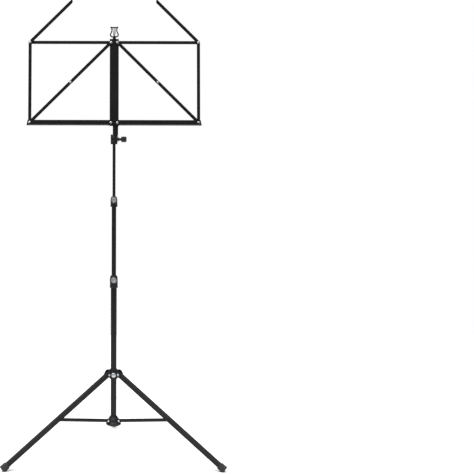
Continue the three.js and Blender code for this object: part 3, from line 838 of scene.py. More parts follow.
@dataclass
class Column:
    """Three telescoping tubes with their guides, clamps and clamp knobs.

    Attributes:
        layout: places and axes.
        flutes: the flute tree.
        walls: wall of each tube.
        bodies: body of each tube.
        boss: radius of a clamp's screw boss.
        boss_front: how far the boss stands out of the column's axis.
        ring: height of the thicker ring at a collar's lower end.
        relief: how much thinner the collar is above the ring.
        shoulder: height of the domed shoulder.
        knob_radius: radius of a knob's rim.
        knob_back: where the knob begins, from the column's axis.
        knob_front: where it ends.
        stem: radius of its screw.
        slit: width of the slit in the back of a collar.
    """

    layout: Layout
    flutes: bpy.types.NodeTree
    walls: dict[str, float] = field(default_factory=lambda: {
        "lower_tube": 0.9, "middle_tube": 0.8, "upper_rod": 0.8})
    bodies: dict[str, str] = field(default_factory=lambda: {
        "lower_tube": "base", "middle_tube": "middle_tube", "upper_rod": "upper_rod"})
    boss: float = 5.5
    boss_front: float = 13.5
    ring: float = 3.2
    relief: float = 0.5
    shoulder: float = 12.5
    knob_radius: float = 9.5
    knob_back: float = 14.0
    knob_front: float = 23.5
    stem: float = 2.2
    slit: float = 1.4

    def build(self) -> None:
        """Builds the whole column."""
        for node, body in self.bodies.items():
            self.tube(node, body)
        self.guide("middle_tube_guide", "middle_tube", "lower_tube")
        self.guide("upper_rod_guide", "upper_rod", "middle_tube")
        self.clamp("lower_clamp", "base", "lower_tube", "middle_tube")
        self.clamp("upper_clamp", "middle_tube", "middle_tube", "upper_rod")

    def span(self, node: str) -> tuple[float, float, float]:
        """Radius across X, bottom and top of a node, in millimetres."""
        low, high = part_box(node)
        return (high.x - low.x) / 2 / MM, low.z / MM, high.z / MM

    def tube(self, node: str, body: str) -> None:
        """Builds a drawn tube with broken edges.

        Args:
            node: CAD node of the tube.
            body: body that it moves with.
        """
        radius, bottom, top = self.span(node)
        bore = radius - self.walls[node]
        profile = rounded([(bore, bottom), (radius, bottom, 0.35), (radius, top, 0.35), (bore, top)], 0.15)
        solid = Solid.turned(profile, 72, ring=True)
        settle(solid, f"{node}_drawn", self.layout.column, body, TUBE_COAT, [node])

    def guide(self, node: str, tube: str, outer: str) -> None:
        """Builds the guide plug at the lower end of a sliding tube.

        Args:
            node: CAD node of the guide.
            tube: tube that it sits in.
            outer: tube that it slides in.
        """
        disc = self.span(outer)[0] - self.walls[outer] - GAP
        neck = self.span(tube)[0] - self.walls[tube] - GAP
        _, bottom, top = self.span(node)
        seat = self.span(tube)[1] - GAP
        profile = [(0, bottom), (disc, bottom, 0.6), (disc, seat, 0.3), (neck, seat),
                   (neck, top, 0.6), (0, top)]
        solid = Solid.turned(rounded(profile, 0.0, closed=False), 48)
        settle(solid, f"{node}_plug", self.layout.column, self.bodies[tube], ACETAL, [node])

    def clamp(self, node: str, body: str, outer: str, inner: str) -> None:
        """Builds a clamp collar with a domed shoulder, its screw boss, slit and knob.

        Args:
            node: CAD node of the collar.
            body: body that it moves with.
            outer: tube that it sits on.
            inner: tube that it clamps.
        """
        radius, bottom, top = self.span(node)
        wide = self.span(outer)[0] + GAP
        close = self.span(inner)[0] + GAP
        seat = self.span(outer)[2] + GAP
        waist = radius - self.relief
        shoulder = top - self.shoulder
        lip = close + 1.0
        dome = [(lip + (waist - lip) * math.cos(math.radians(a)),
                 shoulder + (top - shoulder) * math.sin(math.radians(a))) for a in range(0, 91, 6)]
        step = bottom + self.ring
        foot = rounded([(wide, bottom), (radius, bottom, 0.8), (radius, step, 0.8),
                        (waist, step + 0.6, 0.5), (waist, step + 4.8)], 0.0, closed=False)
        collar = Solid.turned(foot + dome + [(close, top), (close, seat), (wide, seat)], 96, ring=True)
        screw = self.layout.pivot(f"{node}_knob_turn").z / MM
        facing = shift(z=screw) @ Turn.FACING_FRONT.matrix()
        root = close + 1.2
        boss = rounded([(0, root), (self.boss, root), (self.boss, self.boss_front, 0.8),
                        (0, self.boss_front)], 0.0, closed=False)
        collar.joined(Solid.turned(boss, 48).moved(facing))
        collar.cut(
            Solid.rod(self.stem + GAP, 2, self.boss_front + 1).moved(facing),
            Solid.rod(close, seat - 1, top + 1, 96),
            Solid.block((-self.slit / 2, 0, seat + 0.5), (self.slit / 2, radius + 2, top + 1)),
        )
        settle(collar, f"{node}_collar", self.layout.column, body, NYLON, [node])
        self.knob(node, facing, self.span(inner)[0] + 0.5)

    def knob(self, clamp: str, facing: Matrix, tip: float) -> None:
        """Builds the hand knob of a clamp.

        Args:
            clamp: name of the clamp.
            facing: matrix that turns the knob towards the front, at its height.
            tip: where its screw ends, from the column's axis.
        """
        rim, back, front = self.knob_radius, self.knob_back, self.knob_front
        recess = rim * 0.79
        profile = [
            (0, tip), (self.stem, tip, 0.4), (self.stem, back), (rim * 0.72, back, 0.5),
            (rim, back + 1.8, 1.2), (rim, back + 4.5), (rim, front - 1.0, 1.6),
            (rim * 0.84, front, 0.5), (recess, front, 0.3), (recess, front - 1.6), (0, front - 1.6),
        ]
        knob = Knob(profile, rim, flutes=14, depth=1.0, face=(rim * 0.77, front - 0.1))
        body = f"{clamp}_knob"
        place = self.layout.column @ Matrix.Scale(MM, 4) @ facing @ Matrix.Scale(1 / MM, 4)
        grip = knob.grip(self.flutes, KNOB_NYLON)
        settle(grip, f"{body}_grip", place, body, KNOB_NYLON, [body])
        # The light grey face disc is a painted highlight standing in for the gloss on the knob's domed
        # face.
        settle(knob.face_disc(), f"{body}_face", place, body, PAINTED_HIGHLIGHT_METAL)


# ---------------------------------------------------------------- tripod


@dataclass
class Tripod:
    """Hubs, legs, feet, struts and their pins.

    Attributes:
        layout: places and axes.
        flutes: the flute tree.
        ribs: the rib tree.
        rivets: the rivet tree.
        names: the three legs.
        leg_half: half the depth of a leg's section.
        leg_side: half its width.
        sheet: its sheet.
        leg_end: length of a leg from its pivot.
        foot_start: where the rubber foot begins, along the leg.
        foot_end: where it ends.
        foot_outer: its height above the leg's middle.
        foot_inner: its height below the leg's middle.
        foot_side: half its width.
        strut_half: half the height of a strut.
        strut_sheet: its sheet.
        strut_web: where the bend under a strut starts and ends.
        pin: radius of a hinge pin.
        hole: radius of its hole.
        head: radius of its head.
        ear: radius of an ear round its pin.
        ear_sheet: thickness of an ear.
        lobe: radius of the lobe above an ear.
        lobe_reach: place of the lobe's centre, out from the column.
        lobe_rise: its height above the pin.
        sleeve: radius of the sliding sleeve.
        rim: radius of the lower hub's rim.
        waist: its radius above the rim.
        neck: its radius at the tube.
    """

    layout: Layout
    flutes: bpy.types.NodeTree
    ribs: bpy.types.NodeTree
    rivets: bpy.types.NodeTree
    names: tuple[str, ...] = ("left", "right", "rear")
    leg_half: float = 6.25
    leg_side: float = 5.5
    sheet: float = 1.0
    leg_end: float = 384.0
    foot_start: float = 371.5
    foot_end: float = 389.5
    foot_outer: float = 8.4
    foot_inner: float = 9.2
    foot_side: float = 7.5
    strut_half: float = 3.3
    strut_sheet: float = 1.5
    strut_web: tuple[float, float] = (14.0, 92.0)
    pin: float = 2.0
    hole: float = 2.3
    head: float = 3.2
    ear: float = 7.7
    ear_sheet: float = 2.5
    lobe: float = 7.5
    lobe_reach: float = 15.0
    lobe_rise: float = 5.0
    sleeve: float = 11.0
    rim: float = 20.5
    waist: float = 16.5
    neck: float = 10.5

    def build(self) -> None:
        """Builds the whole tripod."""
        for name in self.names:
            self.leg(name)
            self.foot(name)
            self.strut(name)
        self.slider()
        self.hub_knob()
        self.lower_hub()
        self.pins()

    def on_each_spoke(self, solid: Solid) -> list[Solid]:
        """Copies a solid onto all three spokes.

        Args:
            solid: a shape in the spoke frame, which is used up.

        Returns:
            The copies, in the column's frame.
        """
        back = self.layout.column.inverted()
        copies = [solid.copy().moved(back @ self.layout.spoke(name)) for name in self.names]
        solid.discard()
        return copies

    def leg(self, name: str) -> None:
        """Builds a folded sheet leg, open on its underside.

        Args:
            name: left, right or rear.
        """
        half, side, sheet = self.leg_half, self.leg_side, self.sheet
        section = rounded([
            (-side, -half, 0.3), (-side, half, 2.4), (side, half, 2.4), (side, -half, 0.3),
            (side - sheet, -half, 0.3), (side - sheet, half - sheet, 1.4),
            (sheet - side, half - sheet, 1.4), (sheet - side, -half, 0.3),
        ])
        leg = Solid.along_x(section, -half, self.leg_end)
        ends = bar_outline(self.leg_end + half, half)
        leg.combined(Solid.upright(ends, -side - 1, side + 1), "INTERSECT")
        strut_pin = (self.layout.leg(name).inverted() @ self.pin_centre(name)).x / MM
        leg.cut(Solid.cross_rod(self.hole, side + 1), Solid.cross_rod(self.hole, side + 1, strut_pin))
        place, body = self.layout.leg(name), f"leg_{name}"
        settle(leg, f"{body}_folded", place, body, TUBE_COAT, [body])
        node = f"strut_leg_pin_{name}"
        pin = Solid.cross_rod(self.pin, side, strut_pin).bevelled(0.3, 2)
        settle(pin, f"{node}_turned", place, body, ZINC, [node])

    def pin_centre(self, name: str) -> Vector:
        """Middle of the pin between strut and leg, in metres."""
        low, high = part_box(f"strut_leg_pin_{name}")
        return (low + high) / 2

    def foot(self, name: str) -> None:
        """Builds a ribbed rubber cap with a flat sole on the floor.

        Args:
            name: left, right or rear.
        """
        outline = rounded([
            (-self.foot_side, -self.foot_inner), (self.foot_side, -self.foot_inner),
            (self.foot_side, self.foot_outer), (-self.foot_side, self.foot_outer),
        ], 3.2, steps=7)
        length = self.foot_end - self.foot_start
        count = 90
        sections = []
        for number in range(count + 1):
            along = length * number / count
            edge = max(0.0, 1.0 - along / 0.9, 1.0 - (length - along) / 1.8)
            scale = 1.0 - 0.13 * (1.0 - math.sqrt(max(0.0, 1.0 - edge * edge)))
            sections.append([(self.foot_start + along, y * scale, z * scale) for y, z in outline])
        cap = Solid.lofted(sections).shaped(
            self.ribs, start=self.foot_start + 1.5, end=self.foot_start + 12.0,
            pitch=2.1, height=0.45, material=RUBBER.material())
        side, half = self.leg_side + GAP, self.leg_half + GAP
        cap.cut(Solid.block((self.foot_start - 1, -side, -half), (self.leg_end + GAP, side, half)))
        floor = Solid.block((-600, -600, -60), (600, 600, 0))
        floor.moved(Matrix.Scale(1 / MM, 4) @ self.layout.leg(name).inverted() @ Matrix.Scale(MM, 4))
        cap.cut(floor)
        settle(cap, f"foot_{name}_cap", self.layout.leg(name), f"leg_{name}", RUBBER,
               [f"foot_{name}"])

    def strut(self, name: str) -> None:
        """Builds a strut of two cheeks, bent from one sheet under its middle.

        Args:
            name: left, right or rear.
        """
        inner = self.leg_side + GAP
        outer = inner + self.strut_sheet
        half = self.strut_half
        length = (self.pin_centre(name) - self.layout.strut(name).translation).length / MM
        cheek = Solid.upright(bar_outline(length, half), inner, outer).bevelled(0.3, 2, 60)
        other = cheek.copy().moved(Matrix.Scale(-1, 4, (0, 1, 0)))
        skin = 0.02
        wide, slim = outer - skin, inner + skin
        high, floor = half - skin, self.strut_sheet - half
        bend = rounded([
            (-wide, high), (-wide, -half, 1.8), (wide, -half, 1.8), (wide, high),
            (slim, high), (slim, floor, 0.6), (-slim, floor, 0.6), (-slim, high),
        ])
        strut = Solid.along_x(bend, *self.strut_web).joined(cheek, other)
        strut.cut(Solid.cross_rod(self.hole, outer + 1))
        rise = 1.2
        button = rounded([(0, -0.2), (self.head, -0.2), (self.head, 0.5, 0.3), (2.3, rise, 0.6),
                          (0, rise)], 0.0, closed=False)
        for side in (-1, 1):
            boss = Solid.turned(button, 32)
            turn = Matrix.Rotation(math.radians(-90 * side), 4, "X")
            strut.joined(boss.moved(shift(x=length, y=side * outer) @ turn))
        node = f"strut_{name}"
        settle(strut, f"{node}_bent", self.layout.strut(name), node, TUBE_COAT, [node])

    def slider(self) -> None:
        """Builds the sliding hub: a sleeve with three pairs of ears and a screw boss."""
        low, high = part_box("hub_slider")
        bottom, top = low.z / MM, high.z / MM
        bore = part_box("lower_tube")[1].x / MM + 0.4
        pivot = self.layout.pivot("leg_swing_left") - self.layout.column.translation
        height, reach = pivot.z / MM, pivot.xy.length / MM
        inner = self.leg_side + GAP
        ears: list[Solid] = []
        for front in (-inner - self.ear_sheet, inner):
            outline = self.ear_outline(reach)
            ear = Solid.upright(outline, front, front + self.ear_sheet).bevelled(0.7, 3, 60)
            ears += self.on_each_spoke(ear.moved(shift(z=height)))
        radius = self.sleeve
        profile = [(0, bottom), (radius, bottom, 1.0), (radius, top - 4, 0.6),
                   (radius - 1.2, top - 3.4, 0.6), (radius - 1.6, top, 1.0), (0, top)]
        body = Solid.turned(rounded(profile, 0.0, closed=False), 96).joined(*ears)
        rooms = self.on_each_spoke(Solid.block((radius + 0.1, -inner, bottom - 1), (60, inner, top + 1)))
        holes = self.on_each_spoke(Solid.cross_rod(self.hole, 15, reach, height))
        facing = shift(z=height) @ Turn.FACING_FRONT.matrix()
        boss = rounded([(0, 8), (4.6, 8), (4.6, 14.4, 0.7), (0, 14.4)], 0.0, closed=False)
        body.cut(*rooms, *holes).joined(Solid.turned(boss, 48).moved(facing))
        body.cut(Solid.rod(bore, bottom - 1, top + 1, 96), Solid.rod(2.5, 6, 16).moved(facing))
        settle(body, "hub_slider_moulding", self.layout.column, "leg_slider", NYLON,
               ["hub_slider"])

    def ear_outline(self, reach: float) -> list[tuple[float, float]]:
        """Draws an ear about its pivot's height: round the pin, with a lobe above it.

        Args:
            reach: place of the pin, out from the column.

        Returns:
            The outline's points.
        """
        low = [(reach + self.ear * math.cos(math.radians(a)), self.ear * math.sin(math.radians(a)))
               for a in range(-90, 16, 7)]
        high = [(self.lobe_reach + self.lobe * math.cos(math.radians(a)),
                 self.lobe_rise + self.lobe * math.sin(math.radians(a))) for a in range(36, 101, 7)]
        return [(5.0, -self.ear)] + low + high + [(5.0, self.lobe_rise + self.lobe * 0.9)]

    def hub_knob(self) -> None:
        """Builds the knurled screw that locks the sliding hub, with a slot in its face."""
        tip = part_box("lower_tube")[1].x / MM + 0.5
        rim = 6.4
        stem = 2.2
        back, front = 15.0, 22.0
        profile = [
            (0, tip), (stem, tip, 0.4), (stem, back), (rim * 0.8, back, 0.4), (rim, back + 0.9, 0.4),
            (rim, back + 3), (rim, front - 1.2, 0.6), (rim * 0.82, front - 0.3, 0.6),
            (rim * 0.5, front, 0.3), (0, front),
        ]
        knob = Knob(profile, rim, flutes=22, depth=0.42)
        height = self.layout.pivot("leg_swing_left").z / MM
        grip = knob.grip(self.flutes, ZINC)
        grip.cut(Solid.block((-5.2, -0.7, front - 1.1), (5.2, 0.7, front + 1)))
        place = self.layout.column @ Matrix.Scale(MM, 4) @ shift(z=height) @ Turn.FACING_FRONT.matrix()
        settle(grip, "hub_knob_screw", place @ Matrix.Scale(1 / MM, 4), "hub_knob", ZINC,
               ["hub_knob"])

    def lower_hub(self) -> None:
        """Builds the bell-shaped hub that closes the lower tube."""
        low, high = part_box("lower_hub")
        bottom, top = low.z / MM, high.z / MM
        tube_low, tube_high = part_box("lower_tube")
        pivot = self.layout.pivot("strut_swing_left") - self.layout.column.translation
        height, reach = pivot.z / MM, pivot.xy.length / MM
        bell = rounded([
            (0, bottom), (self.rim - 3, bottom, 1.5), (self.rim, bottom + 2.2, 1.2),
            (self.rim, bottom + 6, 1.4), (self.waist, bottom + 10.5, 4.0),
            (self.waist - 1, bottom + 16.5, 4.0), (self.neck + 1.2, top - 3, 2.0),
            (self.neck, top, 0.8), (0, top),
        ], 0.0, closed=False, steps=8)
        lug = Solid.upright(bar_outline(reach - 8, self.strut_half + 0.4), -self.leg_side, self.leg_side)
        lugs = self.on_each_spoke(lug.bevelled(0.5, 3, 60).moved(shift(8, 0, height)))
        hub = Solid.turned(bell, 96).joined(*lugs)
        holes = self.on_each_spoke(Solid.cross_rod(self.hole, 15, reach, height))
        hub.cut(*holes, Solid.rod(tube_high.x / MM + GAP, tube_low.z / MM - GAP, top + 1, 96))
        settle(hub, "lower_hub_bell", self.layout.column, "base", NYLON, ["lower_hub"])

    def pins(self) -> None:
        """Sets the headed pins in the sliding hub and in the lower hub."""
        kinds = {
            "leg": ("leg_swing", "leg_pivot_pin", "leg_slider", self.ear_sheet + GAP),
            "strut": ("strut_swing", "strut_hub_pin", "base", self.strut_sheet + GAP),
        }
        for kind, (joint, node, body, cheek) in kinds.items():
            inner = self.leg_side + GAP + cheek
            outer = inner + 1.2
            side = [(self.pin, inner), (self.head, inner), (self.head, inner + 0.5, 0.2),
                    (self.head * 0.7, outer, 0.8)]
            low = [(r, -z, *rest) for r, z, *rest in reversed(side)]
            profile = [(0, -outer)] + low + side + [(0, outer)]
            template = Solid.turned(rounded(profile, 0.0, closed=False, steps=4), 40)
            joints = [f"{joint}_{name}" for name in self.names]
            spots = [(self.layout.pivot(each), self.layout.axis(each)) for each in joints]
            nodes = [f"{node}_{name}" for name in self.names]
            set_rivets(template, f"{kind}_pins", spots, body, nodes, self.rivets)


# ---------------------------------------------------------------- tilt joint


@dataclass
class TiltJoint:
    """Moulded head on the rod, the knob with its bolt, and the sheet bracket of the desk.

    Attributes:
        layout: places and axes.
        flutes: the flute tree.
        eye: radius of the bracket's eyes round the bolt.
        sheet: thickness of the bracket's cheeks.
        web: thickness of its web.
        bend: height above the bolt where its front edge reaches the channel.
        top: height of its upper end above the bolt.
        deep: depth of its cheeks in the channel.
        fit: play of its cheek in the head's slot.
        bolt: radius of the bolt.
        hole: radius of the bolt's hole.
    """

    layout: Layout
    flutes: bpy.types.NodeTree
    eye: float = 6.5
    sheet: float = 1.5
    web: float = 1.2
    bend: float = 10.0
    top: float = 96.0
    deep: float = 8.0
    fit: float = 0.08
    bolt: float = 2.5
    hole: float = 2.8

    def build(self) -> None:
        """Builds head, knob and bracket."""
        self.head()
        self.knob()
        self.bracket()

    def head(self) -> None:
        """Builds the rounded head with the slot for the bracket's left cheek."""
        low, high = (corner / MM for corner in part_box("tilt_head"))
        centre = self.layout.column.translation / MM
        depth = (high.y - low.y) / 2
        outline = rounded([
            (-depth, low.z, 1.5), (depth, low.z, 1.5), (depth, high.z, 5.5), (-depth, high.z, 5.5),
        ], steps=8)
        head = Solid.along_x(outline, low.x, high.x).bevelled(1.1, 4, 50)
        rod_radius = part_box("upper_rod")[1].x / MM
        rod_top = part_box("upper_rod")[1].z / MM
        pivot = self.layout.pivot("desk_tilt").z / MM
        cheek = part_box("tilt_bracket")[0].x / MM
        head.cut(
            Solid.rod(rod_radius + GAP, low.z - 1, rod_top + GAP, 48),
            Solid.block((cheek - self.fit, -20, pivot - self.eye - self.fit),
                        (cheek + self.sheet + self.fit, 20, high.z + 1)),
            Solid.rod(self.hole, -20, 20, 48).moved(shift(z=pivot) @ Turn.ALONG_X.matrix()),
        )
        nut = Solid.turned([(0, 0), (5.2, 0), (5.2, 0.8), (0, 0.8)], 6)
        nut.moved(shift(low.x + 0.2, 0, pivot) @ Turn.ALONG_X.matrix())
        head.cut(nut)
        place = Matrix.Translation((0, centre.y * MM, 0))
        settle(head, "tilt_head_moulding", place, "tilt_head", NYLON, ["tilt_head"])

    def knob(self) -> None:
        """Builds the side knob with its collar and bolt."""
        low, high = (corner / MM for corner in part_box("tilt_knob"))
        rim = (high.z - low.z) / 2
        start, head, end = high.x - 22.2, high.x - 14.4, high.x
        collar, neck, recess = 5.5, 3.6, rim * 0.7
        profile = [
            (0, low.x), (self.bolt, low.x, 0.5), (self.bolt, start), (collar, start, 0.3),
            (collar, start + 1.6, 0.4), (neck, start + 2.1, 0.3), (neck, head, 0.4),
            (rim * 0.75, head, 0.6), (rim, head + 1.8, 1.2), (rim, head + 6), (rim, end - 2.0, 1.8),
            (rim * 0.76, end, 0.5), (recess, end, 0.2), (recess, end - 1.4), (0, end - 1.4),
        ]
        knob = Knob(profile, rim, flutes=10, depth=0.9, face=(rim * 0.68, end - 0.2))
        pivot = self.layout.pivot("desk_tilt")
        place = Matrix.Translation((0, pivot.y, pivot.z)) @ Turn.ALONG_X.matrix()
        grip = knob.grip(self.flutes, KNOB_NYLON)
        settle(grip, "tilt_knob_grip", place, "tilt_knob", KNOB_NYLON, ["tilt_knob"])
        # The light grey face disc is a painted highlight standing in for the gloss on the knob's domed
        # face.
        settle(knob.face_disc(), "tilt_knob_face", place, "tilt_knob", PAINTED_HIGHLIGHT_METAL)

    def bracket(self) -> None:
        """Builds the U bracket from the bolt up into the back of the channel."""
        low, high = (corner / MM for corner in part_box("tilt_bracket"))
        left, right = low.x, high.x
        face = self.layout.on_desk("shelf_fold_right").z
        front = face - 1.0 - GAP
        back = front - self.deep
        top, eye = self.top, self.eye
        flare = 26.0
        cheek_outline = rounded([
            (top, back), (flare, back, 8), (eye * 0.8, -eye * 0.6), (-eye * 0.4, eye * 0.7), (2, eye),
            (self.bend, front, 4), (top, front),
        ])
        near, far, floor = left + self.sheet, right - self.sheet, front - self.web
        bracket = Solid.upright(rounded([
            (left, back), (left, front, 1.8), (right, front, 1.8), (right, back), (far, back),
            (far, floor, 0.5), (near, floor, 0.5), (near, back),
        ]), self.bend + 1, top)
        for start in (left, right - self.sheet):
            skin = 0.01
            cheek = Solid.along_x(cheek_outline, start + skin, start + self.sheet - skin)
            eye = Solid.rod(self.eye, start, start + self.sheet, 48).moved(Turn.ALONG_X.matrix())
            bracket.joined(cheek.joined(eye))
        bracket.cut(Solid.rod(self.hole, left - 2, right + 2, 48).moved(Turn.ALONG_X.matrix()))
        settle(bracket, "tilt_bracket_bent", self.layout.desk(), "desk", STRIP_COAT,
               ["tilt_bracket"])


# ---------------------------------------------------------------- desk


@dataclass
class Desk:
    """Channel, lyre, shelves, folding strips, page arms and rivets.

    Attributes:
        layout: places and axes.
        rivets: the rivet tree.
        half: half the width of the channel.
        depth: its depth.
        below: how far it goes below the shelf's pivots.
        above: how far it goes above the top bars' pivots.
        notch: radius of the notch in its upper end.
        width: width of a strip.
        sheet: thickness of a strip.
        hole: radius of a rivet's hole.
        shank: radius of a rivet.
        dome: radius of its head.
        finger: length of a page arm's bent tip.
        lyre_sheet: thickness of the lyre.
        shelf_deep: depth of the shelf's trough.
        shelf_lip: height of the shelf's front edge above its pivots.
    """

    layout: Layout
    rivets: bpy.types.NodeTree
    half: float = 12.0
    depth: float = 10.0
    below: float = 8.8
    above: float = 9.8
    notch: float = 4.5
    width: float = 8.5
    sheet: float = 1.2
    hole: float = 2.3
    shank: float = 2.0
    dome: float = 3.3
    finger: float = 25.0
    lyre_sheet: float = 2.6
    shelf_deep: float = 22.0
    shelf_lip: float = 3.4

    def __post_init__(self) -> None:
        """Reads the pivots of the right half in the desk frame."""
        self.lower = self.layout.on_desk("shelf_fold_right")
        self.upper = self.layout.on_desk("top_bar_turn_right")
        self.outer = self.layout.on_desk("side_bar_turn_right")
        self.corner = self.layout.on_desk("page_arm_turn_right")
        self.face = self.lower.z
        self.link = self.upper.y - self.lower.y
        self.brace = self.link * math.sqrt(0.5)

    def build(self) -> None:
        """Builds the whole desk."""
        self.channel()
        self.lyre()
        for side in ("left", "right"):
            self.shelf(side)
            self.strips(side)
            self.page_arm(side)
        self.set_all_rivets()

    def layer(self, number: int) -> float:
        """Back of a layer of strips above the channel face; layer 1 lies on the channel."""
        return GAP + (number - 1) * (self.sheet + GAP)

    def place(self, side: str, pivot: Vector, angle: float) -> Matrix:
        """Frame on a pivot, turned in the desk's plane, and mirrored for the left half.

        Args:
            side: left or right.
            pivot: pivot of the right half, in the desk frame.
            angle: turn in degrees.

        Returns:
            The frame, in metres.
        """
        turn = Matrix.Rotation(math.radians(angle), 4, "Z")
        local = Matrix.Translation(pivot * MM) @ turn
        return self.layout.desk() @ (MIRROR @ local if side == "left" else local)

    def channel(self) -> None:
        """Builds the centre channel: bent sheet, open at the back, notched at its top."""
        half, face = self.half, self.face
        back = face - self.depth
        bottom, top = self.lower.y - self.below, self.upper.y + self.above
        section = rounded([
            (-half, back), (-half, face, 1.9), (half, face, 1.9), (half, back), (half - 1, back),
            (half - 1, face - 1, 0.9), (1 - half, face - 1, 0.9), (1 - half, back),
        ])
        channel = Solid.upright(section, bottom, top)
        channel.cut(Solid.rod(self.notch, back - 1, face + 1, 48).moved(shift(y=top)))
        for side in (-1, 1):
            for height in (self.lower.y, self.upper.y):
                hole = Solid.rod(self.hole, face - 3, face + 1)
                channel.cut(hole.moved(shift(side * self.lower.x, height)))
        settle(channel, "centre_channel_bent", self.layout.desk(), "desk", STRIP_COAT,
               ["centre_channel"])

    def lyre(self) -> None:
        """Builds the stamped lyre: stem, two bowed arms, cupped crossbar and three strings."""
        front = self.face - 1 - GAP
        back = front - self.lyre_sheet
        spans = 14
        curves = [
            ((0.0, 5.8), (7.0, 5.4), (12.2, 8.6), (9.9, 14.2)),
            ((9.9, 14.2), (8.0, 18.8), (4.6, 22.6), (7.9, 31.3)),
        ]
        centre: list[Vector] = []
        for start, first, second, end in curves:
            for step in range(1 if centre else 0, spans + 1):
                t = step / spans
                shares = ((1 - t) ** 3, 3 * t * (1 - t) ** 2, 3 * t * t * (1 - t), t ** 3)
                knots = [Vector(knot) for knot in (start, first, second, end)]
                centre.append(sum((knot * share for knot, share in zip(knots, shares)), Vector((0, 0))))
        edges: dict[int, list] = {-1: [], 1: []}
        for number, point in enumerate(centre):
            along = (centre[min(number + 1, len(centre) - 1)] - centre[max(number - 1, 0)]).normalized()
            wide = 1.75 - 0.35 * number / len(centre)
            for sign, edge in edges.items():
                edge.append((point.x - sign * along.y * wide, point.y + sign * along.x * wide))
        arm = Solid.plate(edges[-1] + edges[1][::-1], back, front).bevelled(0.5, 3, 50)
        cup = Solid.rod(1.9, back, front, 32).bevelled(0.5, 3, 50).moved(shift(8.9, 32.1))
        stem = rounded([(-4.8, -16), (4.8, -16), (4.8, 1.5, 2), (2.8, 4, 2), (3.4, 8.2, 1),
                        (-3.4, 8.2, 1), (-2.8, 4, 2), (-4.8, 1.5, 2)])
        lyre = Solid.plate(stem, back + 0.02, front - 0.02).bevelled(0.4, 3, 50)
        crossbar = rounded([(-9, 29.9), (9, 29.9), (9, 32.9), (-9, 32.9)], 0.8)
        lyre.joined(Solid.plate(crossbar, back + 0.05, front - 0.05).bevelled(0.4, 3, 60))
        for shape in (arm, cup):
            other = shape.copy().moved(MIRROR)
            lyre.joined(shape, other)
        upright = Turn.FACING_FRONT.matrix() @ Matrix.Scale(-1, 4, (0, 0, 1))
        for side in (-1, 0, 1):
            string = Solid.rod(0.75, 6.0, 31.0, 16).moved(upright)
            lean = Matrix.Rotation(math.radians(-5.5 * side), 4, "Z")
            lyre.joined(string.moved(shift(side * 0.9, 0, (back + front) / 2) @ lean))
        top = self.upper.y + self.above
        place = self.layout.desk() @ Matrix.Translation((0, top * MM, 0))
        settle(lyre, "lyre_finial_stamped", place, "desk", STRIP_COAT, ["lyre_finial"])

    def strip(self, length: float, layer: int, holes: Sequence[float]) -> Solid:
        """Makes a flat strip with round ends along X.

        Args:
            length: distance between the centres of its ends.
            layer: layer that it lies in.
            holes: places of its rivet holes.

        Returns:
            The solid.
        """
        back = self.layer(layer)
        outline = bar_outline(length, self.width / 2)
        strip = Solid.plate(outline, back, back + self.sheet).bevelled(0.28, 3, 60)
        return strip.cut(*[Solid.rod(self.hole, back - 1, back + 3).moved(shift(x)) for x in holes])

    def strips(self, side: str) -> None:
        """Builds top bar, side bar and the two halves of the diagonal brace.

        Args:
            side: left or right.
        """
        link, brace = self.link, self.brace
        kinds = {
            "top_bar": (link, 1, (0, link), self.upper, 0),
            "side_bar": (link, 2, (0, link), self.outer, 90),
            "upper_brace": (brace, 2, (0,), self.upper, -45),
            "lower_brace": (brace, 3, (0, brace), self.outer, 135),
        }
        for kind, (length, layer, holes, pivot, angle) in kinds.items():
            node = f"{kind}_{side}"
            place = self.place(side, pivot, angle)
            strip = self.strip(length, layer, holes)
            settle(strip, f"{node}_strip", place, node, STRIP_COAT, [node])

    def shelf(self, side: str) -> None:
        """Builds a shelf half: back strip, floor and front lip, folded from one sheet.

        Args:
            side: left or right.
        """
        back = self.layer(1)
        top, bottom, skin = 7.2, 7.6, 0.02
        lip, front = self.shelf_lip, back + self.shelf_deep
        arc = [(top * math.cos(math.radians(a)), top * math.sin(math.radians(a)))
               for a in range(90, 226, 5)]
        outline = arc + [(2, -bottom)] + self.shelf_end(bottom, top)
        web = Solid.plate(outline, back, back + self.sheet).bevelled(0.28, 3, 60)
        face = back + self.sheet - skin
        trough = rounded([
            (-3, back + skin), (-bottom + skin, back + skin, 1.6), (-bottom + skin, front, 1.8),
            (lip, front, 0.48), (lip, front - 1, 0.48), (1 - bottom, front - 1, 0.8),
            (1 - bottom, face, 0.6), (-3, face),
        ])
        ledge = Solid.block((self.link - 6, skin - bottom, back + 0.6),
                            (self.link + 4, 1 - bottom - skin, front - 0.6))
        shelf = web.joined(Solid.along_x(trough, 6, self.link - 4.8), ledge.bevelled(0.3, 2, 60))
        shelf.cut(*[Solid.rod(self.hole, -1, 4).moved(shift(x)) for x in (0, self.link)])
        node = f"shelf_{side}"
        place = self.place(side, self.lower, 0)
        settle(shelf, f"{node}_folded", place, node, STRIP_COAT, [node])

    def shelf_end(self, bottom: float, top: float) -> list[tuple[float, float]]:
        """Draws the slanted outer end of a shelf's back strip.

        Args:
            bottom: how far the strip goes below the pivots.
            top: how far it goes above them.

        Returns:
            The outline's points.
        """
        corners = [(self.link, -bottom), (self.link + 8.5, -bottom, 1.2),
                   (self.link + 5.8, top, 1.2), (self.link, top)]
        return rounded(corners, closed=False)

